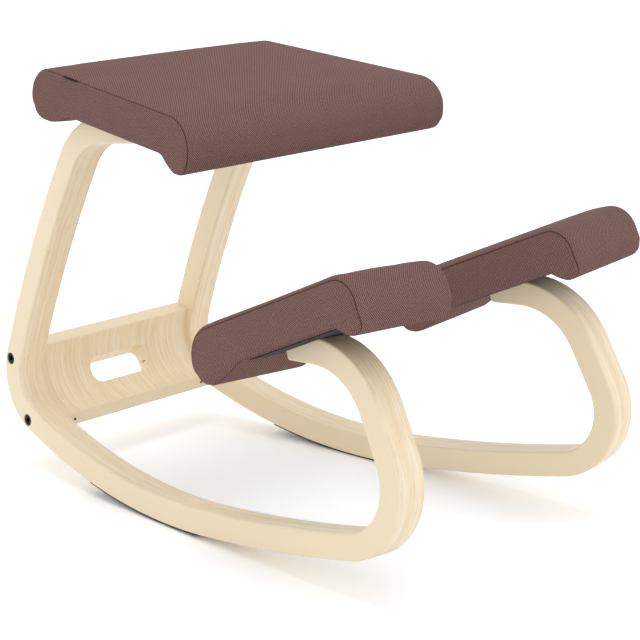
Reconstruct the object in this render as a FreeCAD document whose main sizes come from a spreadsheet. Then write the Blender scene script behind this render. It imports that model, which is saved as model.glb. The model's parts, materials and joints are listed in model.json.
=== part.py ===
# Rocking kneeling chair: two bent side frames, a curved crosspiece, a seat and two knee pads.
# +Z is up, the knee pads point to -Y, and +X is the sitter's left.
# The origin lies on the floor, under the middle of the chair. All lengths are in millimetres.
import FreeCAD, Part
import math
import os

from FreeCAD import Placement, Rotation, Vector

doc = FreeCAD.newDocument("KneelingChair")

# Driving dimensions: alias, value, what it measures. Angles are in degrees.
DIMENSIONS = [
    ("member_width", 39.0, "side frame, across the chair"),
    ("member_depth", 31.0, "side frame, thickness of the lamination"),
    ("edge_ease", 2.5, "rounding of the side frame's long edges"),
    ("half_track", 192.9, "middle of the chair to a frame's outer face, where it stands"),
    ("frame_yaw", 3.57, "each frame turns outwards to the front"),
    ("frame_lean", 2.18, "each frame leans inwards at the top"),
    ("rocker_radius", 752.0, "rocker, main curve of the centreline"),
    ("rocker_rear_angle", 21.0, "rocker, main curve behind its lowest point"),
    ("rocker_front_angle", 5.6, "rocker, main curve ahead of its lowest point"),
    ("glide_radius", 1930.0, "rocker, flatter front stretch"),
    ("glide_angle", 7.45, "rocker, flatter front stretch"),
    ("toe_radius", 75.3, "tight bend at the front"),
    ("toe_angle", 104.8, "tight bend at the front"),
    ("riser_length", 54.2, "straight stretch above the toe"),
    ("knee_bend_radius", 94.6, "bend under the knee pad"),
    ("knee_bend_angle", 66.3, "bend under the knee pad"),
    ("heel_radius", 64.2, "rear bend between rocker and leg"),
    ("heel_angle", 87.1, "rear bend between rocker and leg"),
    ("leg_radius", 1665.0, "gentle curve of the leg"),
    ("leg_angle", 10.1, "gentle curve of the leg"),
    ("top_bend_radius", 84.0, "bend under the seat"),
    ("top_bend_angle", 54.5, "bend under the seat"),
    ("top_cut_depth", 1.5, "seat plane below the outer curve, where the top bend ends"),
    ("top_tip_reach", 88.0, "flat under the seat, from the bend's end to the tip"),
    ("knee_cut_depth", 5.1, "knee plane below the outer curve, where the knee bend ends"),
    ("knee_tip_reach", 46.5, "flat under the knee pad, from the bend's end to the tip"),
    ("strip_thickness", 2.0, "runner strip"),
    ("strip_edge", 2.7, "runner strip, inset from each side of the frame"),
    ("strip_rear_angle", 11.0, "runner strip behind the rocker's lowest point"),
    ("strip_front_angle", 4.5, "runner strip ahead of the rocker's lowest point"),
    ("glue_gap", 0.1, "glue line between strip and rocker"),
    ("panel_thickness", 22.0, "crosspiece"),
    ("panel_top_run", 10.0, "crosspiece, straight stretch above the heel bend"),
    ("panel_low_run", 12.0, "crosspiece, straight stretch ahead of the heel bend"),
    ("panel_ease", 2.0, "rounding of the crosspiece's long edges"),
    ("slot_length", 98.0, "handle slot, across the chair"),
    ("slot_shift", 2.5, "handle slot's middle to the left of the chair's middle"),
    ("slot_width", 33.6, "handle slot"),
    ("slot_corner", 14.0, "handle slot, corner radius"),
    ("slot_cut_angle", 42.0, "handle slot's cutting direction, below the horizontal"),
    ("slot_low_angle", 42.8, "handle slot's lower front edge, below the heel bend's centre"),
    ("slot_bore", 6.5, "bore in the slot's left end wall"),
    ("slot_bore_depth", 18.0, "bore in the slot's left end wall"),
    ("slot_bore_rise", 3.0, "bore ahead of the middle of the end wall"),
    ("slot_bore_drop", 3.5, "bore below the middle of the end wall"),
    ("crossbolt_inset", 18.5, "crosspiece bolt from the crosspiece's edge"),
    ("crossbolt_shank", 8.0, "crosspiece bolt"),
    ("crossbolt_head", 15.0, "crosspiece bolt's head"),
    ("crossbolt_head_height", 5.0, "crosspiece bolt's head"),
    ("crossbolt_socket", 6.0, "crosspiece bolt's hexagon socket, across flats"),
    ("crossbolt_recess", 0.8, "head below the frame's outer face"),
    ("crossbolt_engagement", 24.0, "crosspiece bolt's length inside its insert"),
    ("insert_outside", 12.0, "threaded insert"),
    ("insert_length", 30.0, "threaded insert"),
    ("pin_diameter", 3.4, "insert's pin"),
    ("pin_inset_right", 25.0, "insert's pin from the crosspiece's right end"),
    ("pin_inset_left", 19.0, "insert's pin from the crosspiece's left end"),
    ("pin_recess", 0.6, "pin's head below the crosspiece's edge"),
    ("fastener_gap", 0.3, "radial room round a bolt in wood"),
    ("thread_gap", 0.05, "radial room of a bolt in its thread"),
    ("fabric_thickness", 1.5, "cover, side panels and underside cloth"),
    ("soft_gap", 0.2, "room between cover and foam"),
    ("panel_fold", 2.0, "side panels' folded edge, past the rims' rounding"),
    ("lip_round", 7.0, "rounding where the front lips' slopes turn level"),
    ("board_corner", 14.0, "corner radius of the boards"),
    ("seat_tilt_angle", 5.8, "seat falls to the front"),
    ("seat_ahead", 74.0, "middle of the seat ahead of the top bend's end"),
    ("seat_rear_reach", 173.0, "seat's middle to its rear end"),
    ("seat_front_reach", 139.0, "seat's middle to its front end"),
    ("seat_rear_inset", 6.9, "seat's side at its rear end, in from half_track"),
    ("seat_front_overhang", 27.1, "seat's side at its front end, out from half_track"),
    ("seat_rim", 5.0, "rounding of the seat's rims along its sides"),
    ("seat_seam", 1.0, "seat's seams, in from the section's outline"),
    ("seat_thickness", 49.0, "seat above its flat underside"),
    ("seat_rear_nose_radius", 33.0, "upper rounding of the seat's rear end"),
    ("seat_front_nose_radius", 31.0, "upper rounding of the seat's front end"),
    ("seat_front_lip", 14.0, "seat's front lip below the flat underside"),
    ("seat_rear_lip", 12.0, "seat's rear lip below the flat underside"),
    ("seat_front_ramp", 91.0, "middle of the seat to the front lip's start"),
    ("seat_rear_ramp", 92.0, "middle of the seat to the rear lip's start"),
    ("seat_front_ramp_run", 24.0, "seat's front lip, length of its slope"),
    ("seat_rear_ramp_run", 43.0, "seat's rear lip, length of its slope"),
    ("seat_front_level", 12.0, "seat's front lip, slope's end to its lower rounding"),
    ("seat_rear_level", 12.0, "seat's rear lip, slope's end to its lower rounding"),
    ("seat_board_thickness", 12.0, "seat board"),
    ("seat_board_length", 168.0, "seat board, front to back"),
    ("seat_board_margin", 26.0, "seat's side to the board"),
    ("knee_slope_angle", 24.5, "knee pad rises to the front"),
    ("knee_rear_reach", 108.5, "frame's tip to the knee pad's rear end"),
    ("knee_front_reach", 178.0, "frame's tip to the knee pad's front end"),
    ("knee_width", 138.0, "knee pad"),
    ("knee_shift", 3.5, "knee pad's middle inwards from the frame's middle"),
    ("knee_rim", 6.0, "rounding of the knee pad's rims along its sides"),
    ("knee_seam", 4.0, "knee pad's seams, in from the section's outline"),
    ("knee_thickness", 52.0, "knee pad above its flat underside"),
    ("knee_rear_nose_radius", 39.0, "upper rounding of the knee pad's rear end"),
    ("knee_front_nose_radius", 31.0, "upper rounding of the knee pad's front end"),
    ("knee_lip", 12.0, "knee pad's lips below the flat underside"),
    ("knee_front_ramp", 133.0, "frame's tip to the front lip's start"),
    ("knee_rear_ramp", 30.0, "frame's tip to the rear lip's start"),
    ("knee_front_ramp_run", 19.0, "knee pad's front lip, length of its slope"),
    ("knee_rear_ramp_run", 45.0, "knee pad's rear lip, length of its slope"),
    ("knee_front_level", 8.0, "knee pad's front lip, slope's end to its lower rounding"),
    ("knee_rear_level", 9.5, "knee pad's rear lip, slope's end to its lower rounding"),
    ("ramp_round", 14.0, "rounding where the pads' flat underside turns into the lips"),
    ("knee_board_thickness", 9.0, "knee boards"),
    ("knee_board_margin", 20.0, "knee pad's sides and lips to its board"),
    ("cloth_margin", 6.0, "underside cloth from the rims and the lips"),
    ("cloth_corner", 4.0, "corner radius of the underside cloth"),
    ("pad_bolt_shank", 6.0, "bolts under the seat and the knee pads"),
    ("pad_bolt_head", 12.0, "bolts under the seat and the knee pads"),
    ("pad_bolt_head_height", 4.0, "bolts under the seat and the knee pads"),
    ("pad_bolt_socket", 4.0, "hexagon socket, across flats"),
    ("pad_bolt_grip", 10.0, "wood between a bolt's head and the pad"),
    ("bolt_bevel", 0.6, "bolts, bevel of the head and the tip"),
    ("socket_floor", 2.0, "bolt heads, thickness under the socket"),
    ("tee_flange", 18.0, "tee nut's flange"),
    ("tee_flange_thickness", 1.5, "tee nut's flange"),
    ("tee_barrel", 8.4, "tee nut's barrel"),
    ("tee_length", 7.5, "tee nut's barrel"),
    ("seat_bolt_first", 8.0, "first seat bolt ahead of the top bend's end"),
    ("seat_bolt_pitch", 50.0, "seat bolts, front to back"),
    ("knee_bolt_first", 14.0, "first knee bolt ahead of the frame's tip"),
    ("knee_bolt_pitch", 30.0, "knee bolts, front to back"),
    ("tab_length", 26.0, "blank tab in the seat's seam"),
    ("tab_reach", 3.0, "blank tab out of the seam"),
    ("tab_thickness", 0.8, "blank tab in the seat's seam"),
    ("tab_behind", 90.0, "blank tab behind the seat's middle"),
    ("cutter_reach", 400.0, "size of the blocks that trim the frames"),
]

sheet = doc.addObject("Spreadsheet::Sheet", "Sizes")
for row, (alias, value, note) in enumerate(DIMENSIONS, start=1):
    sheet.set(f"A{row}", note)
    sheet.set(f"B{row}", str(value))
    sheet.setAlias(f"B{row}", alias)
doc.recompute()


def size(alias):
    """A driving dimension, read from the sheet."""
    return float(sheet.get(alias))


NEAR = 1e-3  # two places closer than this are the same
EDGE_SHARES = (0.0, 0.37, 1.0)  # places along an edge where it is tested, one off its middle


# Small helpers

def direction(angle):
    """Unit vector in a sketch's plane, at an angle in degrees from its X axis."""
    turn = math.radians(angle)
    return Vector(math.cos(turn), math.sin(turn), 0)


def bind(item, **properties):
    """Tie properties of an object to formulas in the sheet's aliases."""
    for name, formula in properties.items():
        words = formula.split()
        aliases = {row[0] for row in DIMENSIONS}
        item.setExpression(name, " ".join("Sizes." + w if w in aliases else w for w in words))


def origin_plane(body, role):
    """One of a body's own origin planes."""
    return next(feature for feature in body.Origin.OriginFeatures if feature.Role == role)


def sketch_on(body, role, edges, offset=0.0):
    """A sketch on one of the body's origin planes, moved along the plane's normal."""
    sketch = body.newObject("Sketcher::SketchObject", body.Name + "_sketch")
    sketch.AttachmentSupport = [(origin_plane(body, role), "")]
    sketch.MapMode = "FlatFace"
    sketch.AttachmentOffset = Placement(Vector(0, 0, offset), Rotation())
    for edge in edges:
        sketch.addGeometry(edge, False)
    return sketch


def prism(name, edges, length, placement, offset=0.0, midplane=False):
    """A body padded from a closed outline in its XY plane, towards -Z or to both sides."""
    body = doc.addObject("PartDesign::Body", name)
    pad = body.newObject("PartDesign::Pad", name + "_pad")
    pad.Profile = sketch_on(body, "XY_Plane", edges, offset)
    bind(pad, Length=length)
    pad.Midplane = midplane
    pad.Reversed = not midplane
    body.Placement = placement
    return body


def turned(name, profile):
    """A body turned about Z from (radius, height) points."""
    body = doc.addObject("PartDesign::Body", name)
    points = [Vector(radius, height, 0) for radius, height in profile]
    edges = [Part.LineSegment(a, b) for a, b in zip(points, points[1:] + points[:1])]
    sketch = sketch_on(body, "XZ_Plane", edges)
    turn = body.newObject("PartDesign::Revolution", name + "_turn")
    turn.Profile = sketch
    turn.ReferenceAxis = (sketch, ["V_Axis"])
    turn.Angle = 360.0
    return body


def cylinder(name, diameter, length, placement, base=0.0):
    """A cylinder along the placement's Z, bound to the sheet, that starts at base."""
    item = doc.addObject("Part::Cylinder", name)
    bind(item, Radius=f"( {diameter} ) / 2", Height=length)
    item.Placement = placement.multiply(Placement(Vector(0, 0, base), Rotation()))
    return item


def block(name, lengths, corner, placement):
    """A box with its lowest corner at a place in the placement's frame."""
    item = doc.addObject("Part::Box", name)
    item.Length, item.Width, item.Height = lengths
    item.Placement = placement.multiply(Placement(corner, Rotation()))
    return item


def fuse(name, items):
    """One solid, or set of solids, from several."""
    if len(items) == 1:
        return items[0]
    item = doc.addObject("Part::MultiFuse", name)
    item.Shapes = items
    return item


def cut(name, base, tools):
    """The base without the tools."""
    item = doc.addObject("Part::Cut", name)
    item.Base = base
    item.Tool = fuse(name + "_tools", tools)
    return item


def common(name, base, tool):
    """What base and tool share."""
    item = doc.addObject("Part::Common", name)
    item.Base = base
    item.Tool = tool
    return item


def mirrored(name, source):
    """The same piece on the chair's other side."""
    item = doc.addObject("Part::Mirroring", name)
    item.Source = source
    item.Base = Vector(0, 0, 0)
    item.Normal = Vector(1, 0, 0)
    return item


def copies(name, source, right_places, left_places=None):
    """Equal fasteners as one group of solids. The left ones are mirror images."""
    solids = []
    for right, left in zip(right_places, left_places or right_places):
        solids.append(source.Shape.transformed(right.toMatrix()))
        twin = source.Shape.transformed(left.toMatrix())
        solids.append(twin.mirror(Vector(0, 0, 0), Vector(1, 0, 0)))
    item = doc.addObject("Part::Feature", name)
    item.Shape = Part.makeCompound(solids)
    return item


def rounded(corners):
    """Closed outline through (x, y, radius) corners, as lines joined by tangent arcs."""
    points = [Vector(x, y, 0) for x, y, _ in corners]
    arcs = []
    for index, (_, _, radius) in enumerate(corners):
        here = points[index]
        back = (points[index - 1] - here).normalize()
        ahead = (points[(index + 1) % len(points)] - here).normalize()
        half = back.getAngle(ahead) / 2
        cutback = radius / math.tan(half)
        middle = here + (back + ahead).normalize() * (radius / math.sin(half) - radius)
        arcs.append(Part.Arc(here + back * cutback, middle, here + ahead * cutback))
    lines = [
        Part.LineSegment(arc.EndPoint, following.StartPoint)
        for arc, following in zip(arcs, arcs[1:] + arcs[:1])
    ]
    return arcs + lines


def inset(corners, distance):
    """Anticlockwise (x, y, radius) corners moved inwards; hollow corners get a larger radius."""
    moved = []
    for index, (x, y, radius) in enumerate(corners):
        here = Vector(x, y, 0)
        before = Vector(*corners[index - 1][:2], 0)
        after = Vector(*corners[(index + 1) % len(corners)][:2], 0)
        arrive, leave = (here - before).normalize(), (after - here).normalize()
        turn = arrive.cross(leave).z
        inward = Vector(-arrive.y - leave.y, arrive.x + leave.x, 0)
        inward *= distance / (1 + arrive.dot(leave))
        new_radius = radius - distance if turn > 0 else radius + distance
        moved.append((x + inward.x, y + inward.y, new_radius))
    return moved


# The side frame's centreline, walked both ways from the rocker's lowest point. All its arcs turn
# the same way, so the outer curve adds half the member's depth to each radius and the inner
# curve takes it away.

class Walk:
    """A chain of tangent arcs and lines in the frame's plane, X forwards and Y up."""

    def __init__(self, forwards):
        self.way = 1 if forwards else -1
        self.place = Vector(0, size("member_depth") / 2, 0)
        self.heading = 0.0
        self.steps = []

    def centre(self, radius):
        return self.place + direction(self.heading + 90) * radius

    def arc(self, radius, angle):
        centre = self.centre(radius)
        first = self.heading - 90
        self.heading += self.way * angle
        self.steps.append(("arc", centre, radius, first, self.heading - 90))
        self.place = centre + direction(self.heading - 90) * radius

    def line(self, length):
        start = self.place
        self.place = start + direction(self.heading) * length * self.way
        self.steps.append(("line", start, self.place, self.heading))

    def edges(self, outwards):
        """The walk's edges, moved outwards by a distance."""
        made = []
        for step in self.steps:
            if step[0] == "arc":
                _, centre, radius, first, last = step
                made.append(arc_edge(centre, radius + outwards, first, last))
            else:
                _, start, end, heading = step
                shift = direction(heading - 90) * outwards
                made.append(Part.LineSegment(start + shift, end + shift))
        return made

    def side(self, outwards):
        """The end of the walk, moved outwards."""
        return self.place + direction(self.heading - 90) * outwards


def arc_edge(centre, radius, first, last):
    """An arc between two angles in degrees, whichever comes first."""
    low, high = sorted((math.radians(first), math.radians(last)))
    return Part.ArcOfCircle(Part.Circle(centre, Vector(0, 0, 1), radius), low, high)


half_depth = size("member_depth") / 2
front_walk = Walk(forwards=True)
front_walk.arc(size("rocker_radius"), size("rocker_front_angle"))
front_walk.arc(size("glide_radius"), size("glide_angle"))
toe_centre = front_walk.centre(size("toe_radius"))
front_walk.arc(size("toe_radius"), size("toe_angle"))
front_walk.line(size("riser_length"))
front_walk.arc(size("knee_bend_radius"), size("knee_bend_angle"))
knee_bend_end = front_walk.side(half_depth)
front_walk.line(size("knee_tip_reach") + size("member_depth"))

rear_walk = Walk(forwards=False)
rear_walk.arc(size("rocker_radius"), size("rocker_rear_angle"))
heel_centre = rear_walk.centre(size("heel_radius"))
heel_low_angle = rear_walk.heading - 90
rear_walk.arc(size("heel_radius"), size("heel_angle"))
heel_top_angle = rear_walk.heading - 90
rear_walk.arc(size("leg_radius"), size("leg_angle"))
rear_walk.arc(size("top_bend_radius"), size("top_bend_angle"))
top_bend_end = rear_walk.side(half_depth)
rear_walk.line(size("top_tip_reach") + size("member_depth"))

member_outline = []
for walk in (front_walk, rear_walk):
    member_outline += walk.edges(half_depth) + walk.edges(-half_depth)
    member_outline.append(Part.LineSegment(walk.side(half_depth), walk.side(-half_depth)))


# The right frame's plane in the chair: X forwards, Y up and Z outwards, with its origin at the
# rocker's lowest point on the outer face. It is set so that the strips' lowest edge meets the
# floor and the frames' front and rear ends lie as far from the origin.

yaw, lean = size("frame_yaw"), size("frame_lean")
forward = Rotation(Vector(0, 0, 1), -yaw).multVec(Vector(0, -1, 0))
outward_level = Rotation(Vector(0, 0, 1), -yaw).multVec(Vector(-1, 0, 0))
tip_in = Rotation(forward, -lean)
outward = tip_in.multVec(outward_level)
upward = tip_in.multVec(Vector(0, 0, 1))

strip_depth = size("strip_thickness") + size("glue_gap")
strip_inner_edge = size("member_width") - size("strip_edge")
rear_end = heel_centre - Vector(size("heel_radius") + half_depth, 0, 0)
front_end = toe_centre + Vector(size("toe_radius") + half_depth, 0, 0)
rear_y = rear_end.x * forward.y + rear_end.y * upward.y
front_y = front_end.x * forward.y + front_end.y * upward.y - size("member_width") * outward.y
frame_base = Vector(
    -size("half_track"),
    -(rear_y + front_y) / 2,
    strip_depth * upward.z + strip_inner_edge * outward.z,
)
frame_place = Placement(frame_base, Rotation(forward, upward, outward, "XYZ"))


# Planes that cut the frame: the seat's flat underside, level across the chair, and the knee
# pad's, square to the frame. In both frames X runs forwards along the slope and Y away from it.

tilt = size("seat_tilt_angle")
seat_normal = Vector(0, -math.sin(math.radians(tilt)), math.cos(math.radians(tilt)))
seat_forward = Vector(0, -math.cos(math.radians(tilt)), -math.sin(math.radians(tilt)))
top_contact = frame_place.multVec(top_bend_end - Vector(0, 0, size("member_width") / 2))
top_contact -= seat_normal * size("top_cut_depth")
seat_middle = top_contact + seat_forward * size("seat_ahead")
seat_middle.x = 0
seat_place = Placement(seat_middle, Rotation(seat_forward, seat_normal, Vector(-1, 0, 0), "XYZ"))

slope = size("knee_slope_angle")
knee_tip = knee_bend_end - direction(slope + 90) * size("knee_cut_depth")
knee_tip -= direction(slope) * size("knee_tip_reach")
knee_place = frame_place.multiply(Placement(knee_tip, Rotation(Vector(0, 0, 1), slope)))


# Fastener places. A bolt's Z axis points out of the wood, from its shank to its head.

def along_panel(distance, from_top):
    """Point on the crosspiece's middle curve, a distance in from its upper or lower edge."""
    radius = size("heel_radius") + half_depth - size("panel_thickness") / 2
    run = size("panel_top_run") if from_top else size("panel_low_run")
    edge_angle = heel_top_angle if from_top else heel_low_angle
    turn = math.degrees((distance - run) / radius) * (1 if from_top else -1)
    return heel_centre + direction(edge_angle + turn) * radius


def panel_edge(from_top):
    """Middle of the crosspiece's upper or lower edge face, and the way it faces."""
    radius = size("heel_radius") + half_depth - size("panel_thickness") / 2
    edge_angle = heel_top_angle if from_top else heel_low_angle
    run = size("panel_top_run") if from_top else size("panel_low_run")
    away = direction(edge_angle - 90 if from_top else edge_angle + 90)
    return heel_centre + direction(edge_angle) * radius + away * run, away


crossbolt_places = []
insert_places = []
pin_places = {"right": [], "left": []}
pin_length = size("crossbolt_inset") - size("insert_outside") / 2 - size("pin_recess")
pin_length -= 2 * size("thread_gap")
for from_top in (True, False):
    spot = along_panel(size("crossbolt_inset"), from_top)
    seat_depth = size("crossbolt_head_height") + size("crossbolt_recess")
    crossbolt_places.append(frame_place.multiply(Placement(spot - Vector(0, 0, seat_depth), Rotation())))
    insert_places.append(frame_place.multiply(
        Placement(spot - Vector(0, 0, size("member_width")), Rotation())))
    edge, away = panel_edge(from_top)
    for side, places in pin_places.items():
        spot = edge - Vector(0, 0, size("member_width") + size("pin_inset_" + side))
        places.append(frame_place.multiply(Placement(spot, Rotation(Vector(0, 0, 1), away))))

into_pad = Rotation(Vector(0, 0, 1), Vector(0, -1, 0))
knee_bolt_places = []
for number in range(2):
    reach = size("knee_bolt_first") + number * size("knee_bolt_pitch")
    spot = Vector(reach, 0, -size("member_width") / 2)
    knee_bolt_places.append(knee_place.multiply(Placement(spot, into_pad)))

seat_bolt_places = []
for number in range(2):
    reach = size("seat_bolt_first") + number * size("seat_bolt_pitch")
    spot = seat_place.inverse().multVec(top_contact + seat_forward * reach)
    spot.z += math.tan(math.radians(yaw)) * reach
    seat_bolt_places.append(seat_place.multiply(Placement(spot, into_pad)))


# Side frames

member = prism("member_blank", member_outline, "member_width", frame_place)
doc.recompute()
pad = member.Tip
long_edges = [
    f"Edge{number}"
    for number, edge in enumerate(pad.Shape.Edges, start=1)
    if edge.BoundBox.ZLength < NEAR and edge.Length - size("member_depth") > NEAR
]
ease = member.newObject("PartDesign::Fillet", "member_ease")
ease.Base = (pad, long_edges)
bind(ease, Radius="edge_ease")

reach = size("cutter_reach")
above_seat = block(
    "above_seat", (reach, reach, reach * 2), Vector(-reach / 2, 0, -reach), seat_place)
tip_in_seat = seat_place.inverse().multVec(top_contact + seat_forward * size("top_tip_reach"))
ahead_of_top = block(
    "ahead_of_top", (reach / 2, reach / 4, reach * 2),
    Vector(tip_in_seat.x, -reach / 4, -reach), seat_place)
above_knee = block(
    "above_knee", (reach, reach / 4, reach), Vector(-reach / 2, 0, -reach / 2), knee_place)
behind_knee = block(
    "behind_knee", (reach / 4, reach / 8, reach),
    Vector(-reach / 4, -reach / 8, -reach / 2), knee_place)

frame_cutters = [above_seat, ahead_of_top, above_knee, behind_knee]
for number, place in enumerate(crossbolt_places):
    frame_cutters.append(cylinder(
        f"crossbolt_hole_{number}", "crossbolt_shank + 2 * fastener_gap",
        "member_width * 2", place, -size("member_width")))
    frame_cutters.append(cylinder(
        f"crossbolt_pocket_{number}", "crossbolt_head + 2 * fastener_gap",
        "member_width", place))
for number, place in enumerate(seat_bolt_places + knee_bolt_places):
    frame_cutters.append(cylinder(
        f"pad_bolt_hole_{number}", "pad_bolt_shank + 2 * fastener_gap",
        "member_depth", place, -size("member_depth") / 2))
    frame_cutters.append(cylinder(
        f"pad_bolt_pocket_{number}", "pad_bolt_head + 4 * fastener_gap",
        "member_depth", place, size("pad_bolt_grip")))

right_frame = cut("right_side_frame", member, frame_cutters)
left_frame = mirrored("left_side_frame", right_frame)


# Runner strips: thin bands on the rocker's underside

def strip_outline():
    """Band between two arcs about the rocker's centre."""
    centre = Vector(0, half_depth + size("rocker_radius"), 0)
    top = size("rocker_radius") + half_depth + size("glue_gap")
    first = -90 - size("strip_rear_angle")
    last = -90 + size("strip_front_angle")
    edges = [arc_edge(centre, top, first, last),
             arc_edge(centre, top + size("strip_thickness"), first, last)]
    for angle in (first, last):
        way = direction(angle)
        edges.append(Part.LineSegment(
            centre + way * top, centre + way * (top + size("strip_thickness"))))
    return edges


right_strip = prism(
    "right_runner_strip", strip_outline(), "member_width - 2 * strip_edge", frame_place,
    -size("strip_edge"))
left_strip = mirrored("left_runner_strip", right_strip)


# Crosspiece: a thick arc of plywood flush with the outside of both heel bends

panel_middle = frame_place.multVec(heel_centre - Vector(0, 0, size("member_width")))
panel_place = Placement(
    Vector(0, panel_middle.y, panel_middle.z),
    Rotation(Vector(0, -1, 0), Vector(0, 0, 1), Vector(-1, 0, 0), "XYZ"))


def panel_ends():
    """Angle of each end of the bend, its straight run and the way that runs."""
    return ((heel_top_angle, size("panel_top_run"), direction(heel_top_angle - 90)),
            (heel_low_angle, size("panel_low_run"), direction(heel_low_angle + 90)))


def panel_outline():
    """C-shaped section about the heel bend's centre, with a straight run at each end."""
    outer = size("heel_radius") + half_depth
    inner = outer - size("panel_thickness")
    origin = Vector(0, 0, 0)
    edges = [arc_edge(origin, outer, heel_top_angle, heel_low_angle),
             arc_edge(origin, inner, heel_top_angle, heel_low_angle)]
    for angle, run, way in panel_ends():
        out, into = direction(angle) * outer, direction(angle) * inner
        edges += [Part.LineSegment(out, out + way * run),
                  Part.LineSegment(out + way * run, into + way * run),
                  Part.LineSegment(into + way * run, into)]
    return edges


def panel_corners():
    """Corners of the crosspiece's upper and lower edge faces, in its own section."""
    outer = size("heel_radius") + half_depth
    corners = []
    for angle, run, way in panel_ends():
        for radius in (outer, outer - size("panel_thickness")):
            corners.append(direction(angle) * radius + way * run)
    return corners


panel = prism("panel_blank", panel_outline(), "half_track * 2", panel_place, midplane=True)
doc.recompute()
panel_pad = panel.Tip
panel_edges = [
    f"Edge{number}"
    for number, edge in enumerate(panel_pad.Shape.Edges, start=1)
    if any(edge.distToShape(Part.Vertex(corner))[0] < NEAR and edge.Length > size("half_track")
           for corner in panel_corners())
]
panel_ease = panel.newObject("PartDesign::Fillet", "panel_ease")
panel_ease.Base = (panel_pad, panel_edges)
bind(panel_ease, Radius="panel_ease")

# Handle slot: a rounded rectangle cut straight through, on a slant

slot_half_x, slot_half_y = size("slot_length") / 2, size("slot_width") / 2
slot_corners = [
    (x, y, size("slot_corner"))
    for x, y in ((-slot_half_x, -slot_half_y), (slot_half_x, -slot_half_y),
                 (slot_half_x, slot_half_y), (-slot_half_x, slot_half_y))
]
panel_inner = size("heel_radius") + half_depth - size("panel_thickness")
cut_way = direction(180 + size("slot_cut_angle"))
across_slot = direction(90 + size("slot_cut_angle"))
slot_middle = (direction(180 + size("slot_low_angle")) * panel_inner
               + across_slot * slot_half_y + cut_way * size("panel_thickness") / 2
               - Vector(0, 0, size("slot_shift")))
slot_place = panel_place.multiply(
    Placement(slot_middle, Rotation(Vector(0, 0, 1), across_slot, cut_way, "XYZ")))
slot = prism("slot_cutter", rounded(slot_corners), "panel_thickness * 3", slot_place, midplane=True)
bore_place = slot_place.multiply(Placement(
    Vector(-slot_half_x, -size("slot_bore_drop"), -size("slot_bore_rise")),
    Rotation(Vector(0, 0, 1), Vector(-1, 0, 0))))
slot_bore = cylinder("slot_bore", "slot_bore", "slot_bore_depth", bore_place)

panel_cutters = [slot, slot_bore]
for side, places in pin_places.items():
    end_cutters = [block(
        f"beyond_{side}_frame", (reach * 2, reach * 2, reach),
        Vector(-reach, -reach, -size("member_width")), frame_place)]
    for number, (insert_at, pin_at) in enumerate(zip(insert_places, places)):
        end_cutters.append(cylinder(
            f"{side}_insert_hole_{number}", "insert_outside + 2 * thread_gap",
            "insert_length + thread_gap", insert_at, -size("insert_length") - size("thread_gap")))
        end_cutters.append(cylinder(
            f"{side}_pin_hole_{number}", "pin_diameter + 2 * thread_gap", "crossbolt_inset",
            pin_at, -size("crossbolt_inset")))
    end_cutter = fuse(f"{side}_end_cutter", end_cutters)
    if side == "left":
        end_cutter = mirrored("left_end_cutter_mirrored", end_cutter)
    panel_cutters.append(end_cutter)
crosspiece_cut = cut("crosspiece_cut", panel, panel_cutters)
doc.recompute()


def on_slot_rim(edge):
    """Whether an edge is where the slot meets the crosspiece's front or rear face."""
    box = edge.BoundBox
    if max(-box.XMin, box.XMax) > slot_half_x + size("slot_shift") + size("panel_ease"):
        return False
    start, end = edge.ParameterRange
    radii = (panel_inner, panel_inner + size("panel_thickness"))
    for share in EDGE_SHARES:
        point = edge.valueAt(start + share * (end - start))
        radius = math.hypot(point.y - panel_place.Base.y, point.z - panel_place.Base.z)
        if min(abs(radius - face) for face in radii) > NEAR:
            return False
    return True


crosspiece = doc.addObject("Part::Fillet", "crosspiece")
crosspiece.Base = crosspiece_cut
crosspiece.Edges = [
    (number, size("panel_ease"), size("panel_ease"))
    for number, edge in enumerate(crosspiece_cut.Shape.Edges, start=1)
    if on_slot_rim(edge)
]


# Bolts, inserts, pins and tee nuts. Each is turned about Z, with its head towards +Z.

def socket_bolt(name, head, head_height, shank, length, socket):
    """A socket-head bolt whose head rests on the plane Z = 0."""
    bevel = size("bolt_bevel")
    body = turned(name + "_turned", [
        (0, -length), (shank / 2 - bevel, -length), (shank / 2, -length + bevel), (shank / 2, 0),
        (head / 2, 0), (head / 2, head_height - bevel), (head / 2 - bevel, head_height),
        (0, head_height)])
    hexagon = doc.addObject("Part::Prism", name + "_socket")
    hexagon.Polygon = 6
    hexagon.Circumradius = socket / math.sqrt(3)
    hexagon.Height = head_height
    hexagon.Placement = Placement(Vector(0, 0, size("socket_floor")), Rotation())
    return cut(name, body, [hexagon])


crossbolt_length = (size("member_width") - size("crossbolt_head_height")
                    - size("crossbolt_recess") + size("crossbolt_engagement"))
crossbolt = socket_bolt(
    "crossbolt", size("crossbolt_head"), size("crossbolt_head_height"),
    size("crossbolt_shank"), crossbolt_length, size("crossbolt_socket"))
pad_bolts = {
    kind: socket_bolt(
        kind + "_bolt", size("pad_bolt_head"), size("pad_bolt_head_height"),
        size("pad_bolt_shank"),
        size("pad_bolt_grip") + size("fabric_thickness") + size(kind + "_board_thickness"),
        size("pad_bolt_socket"))
    for kind in ("seat", "knee")
}

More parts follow.
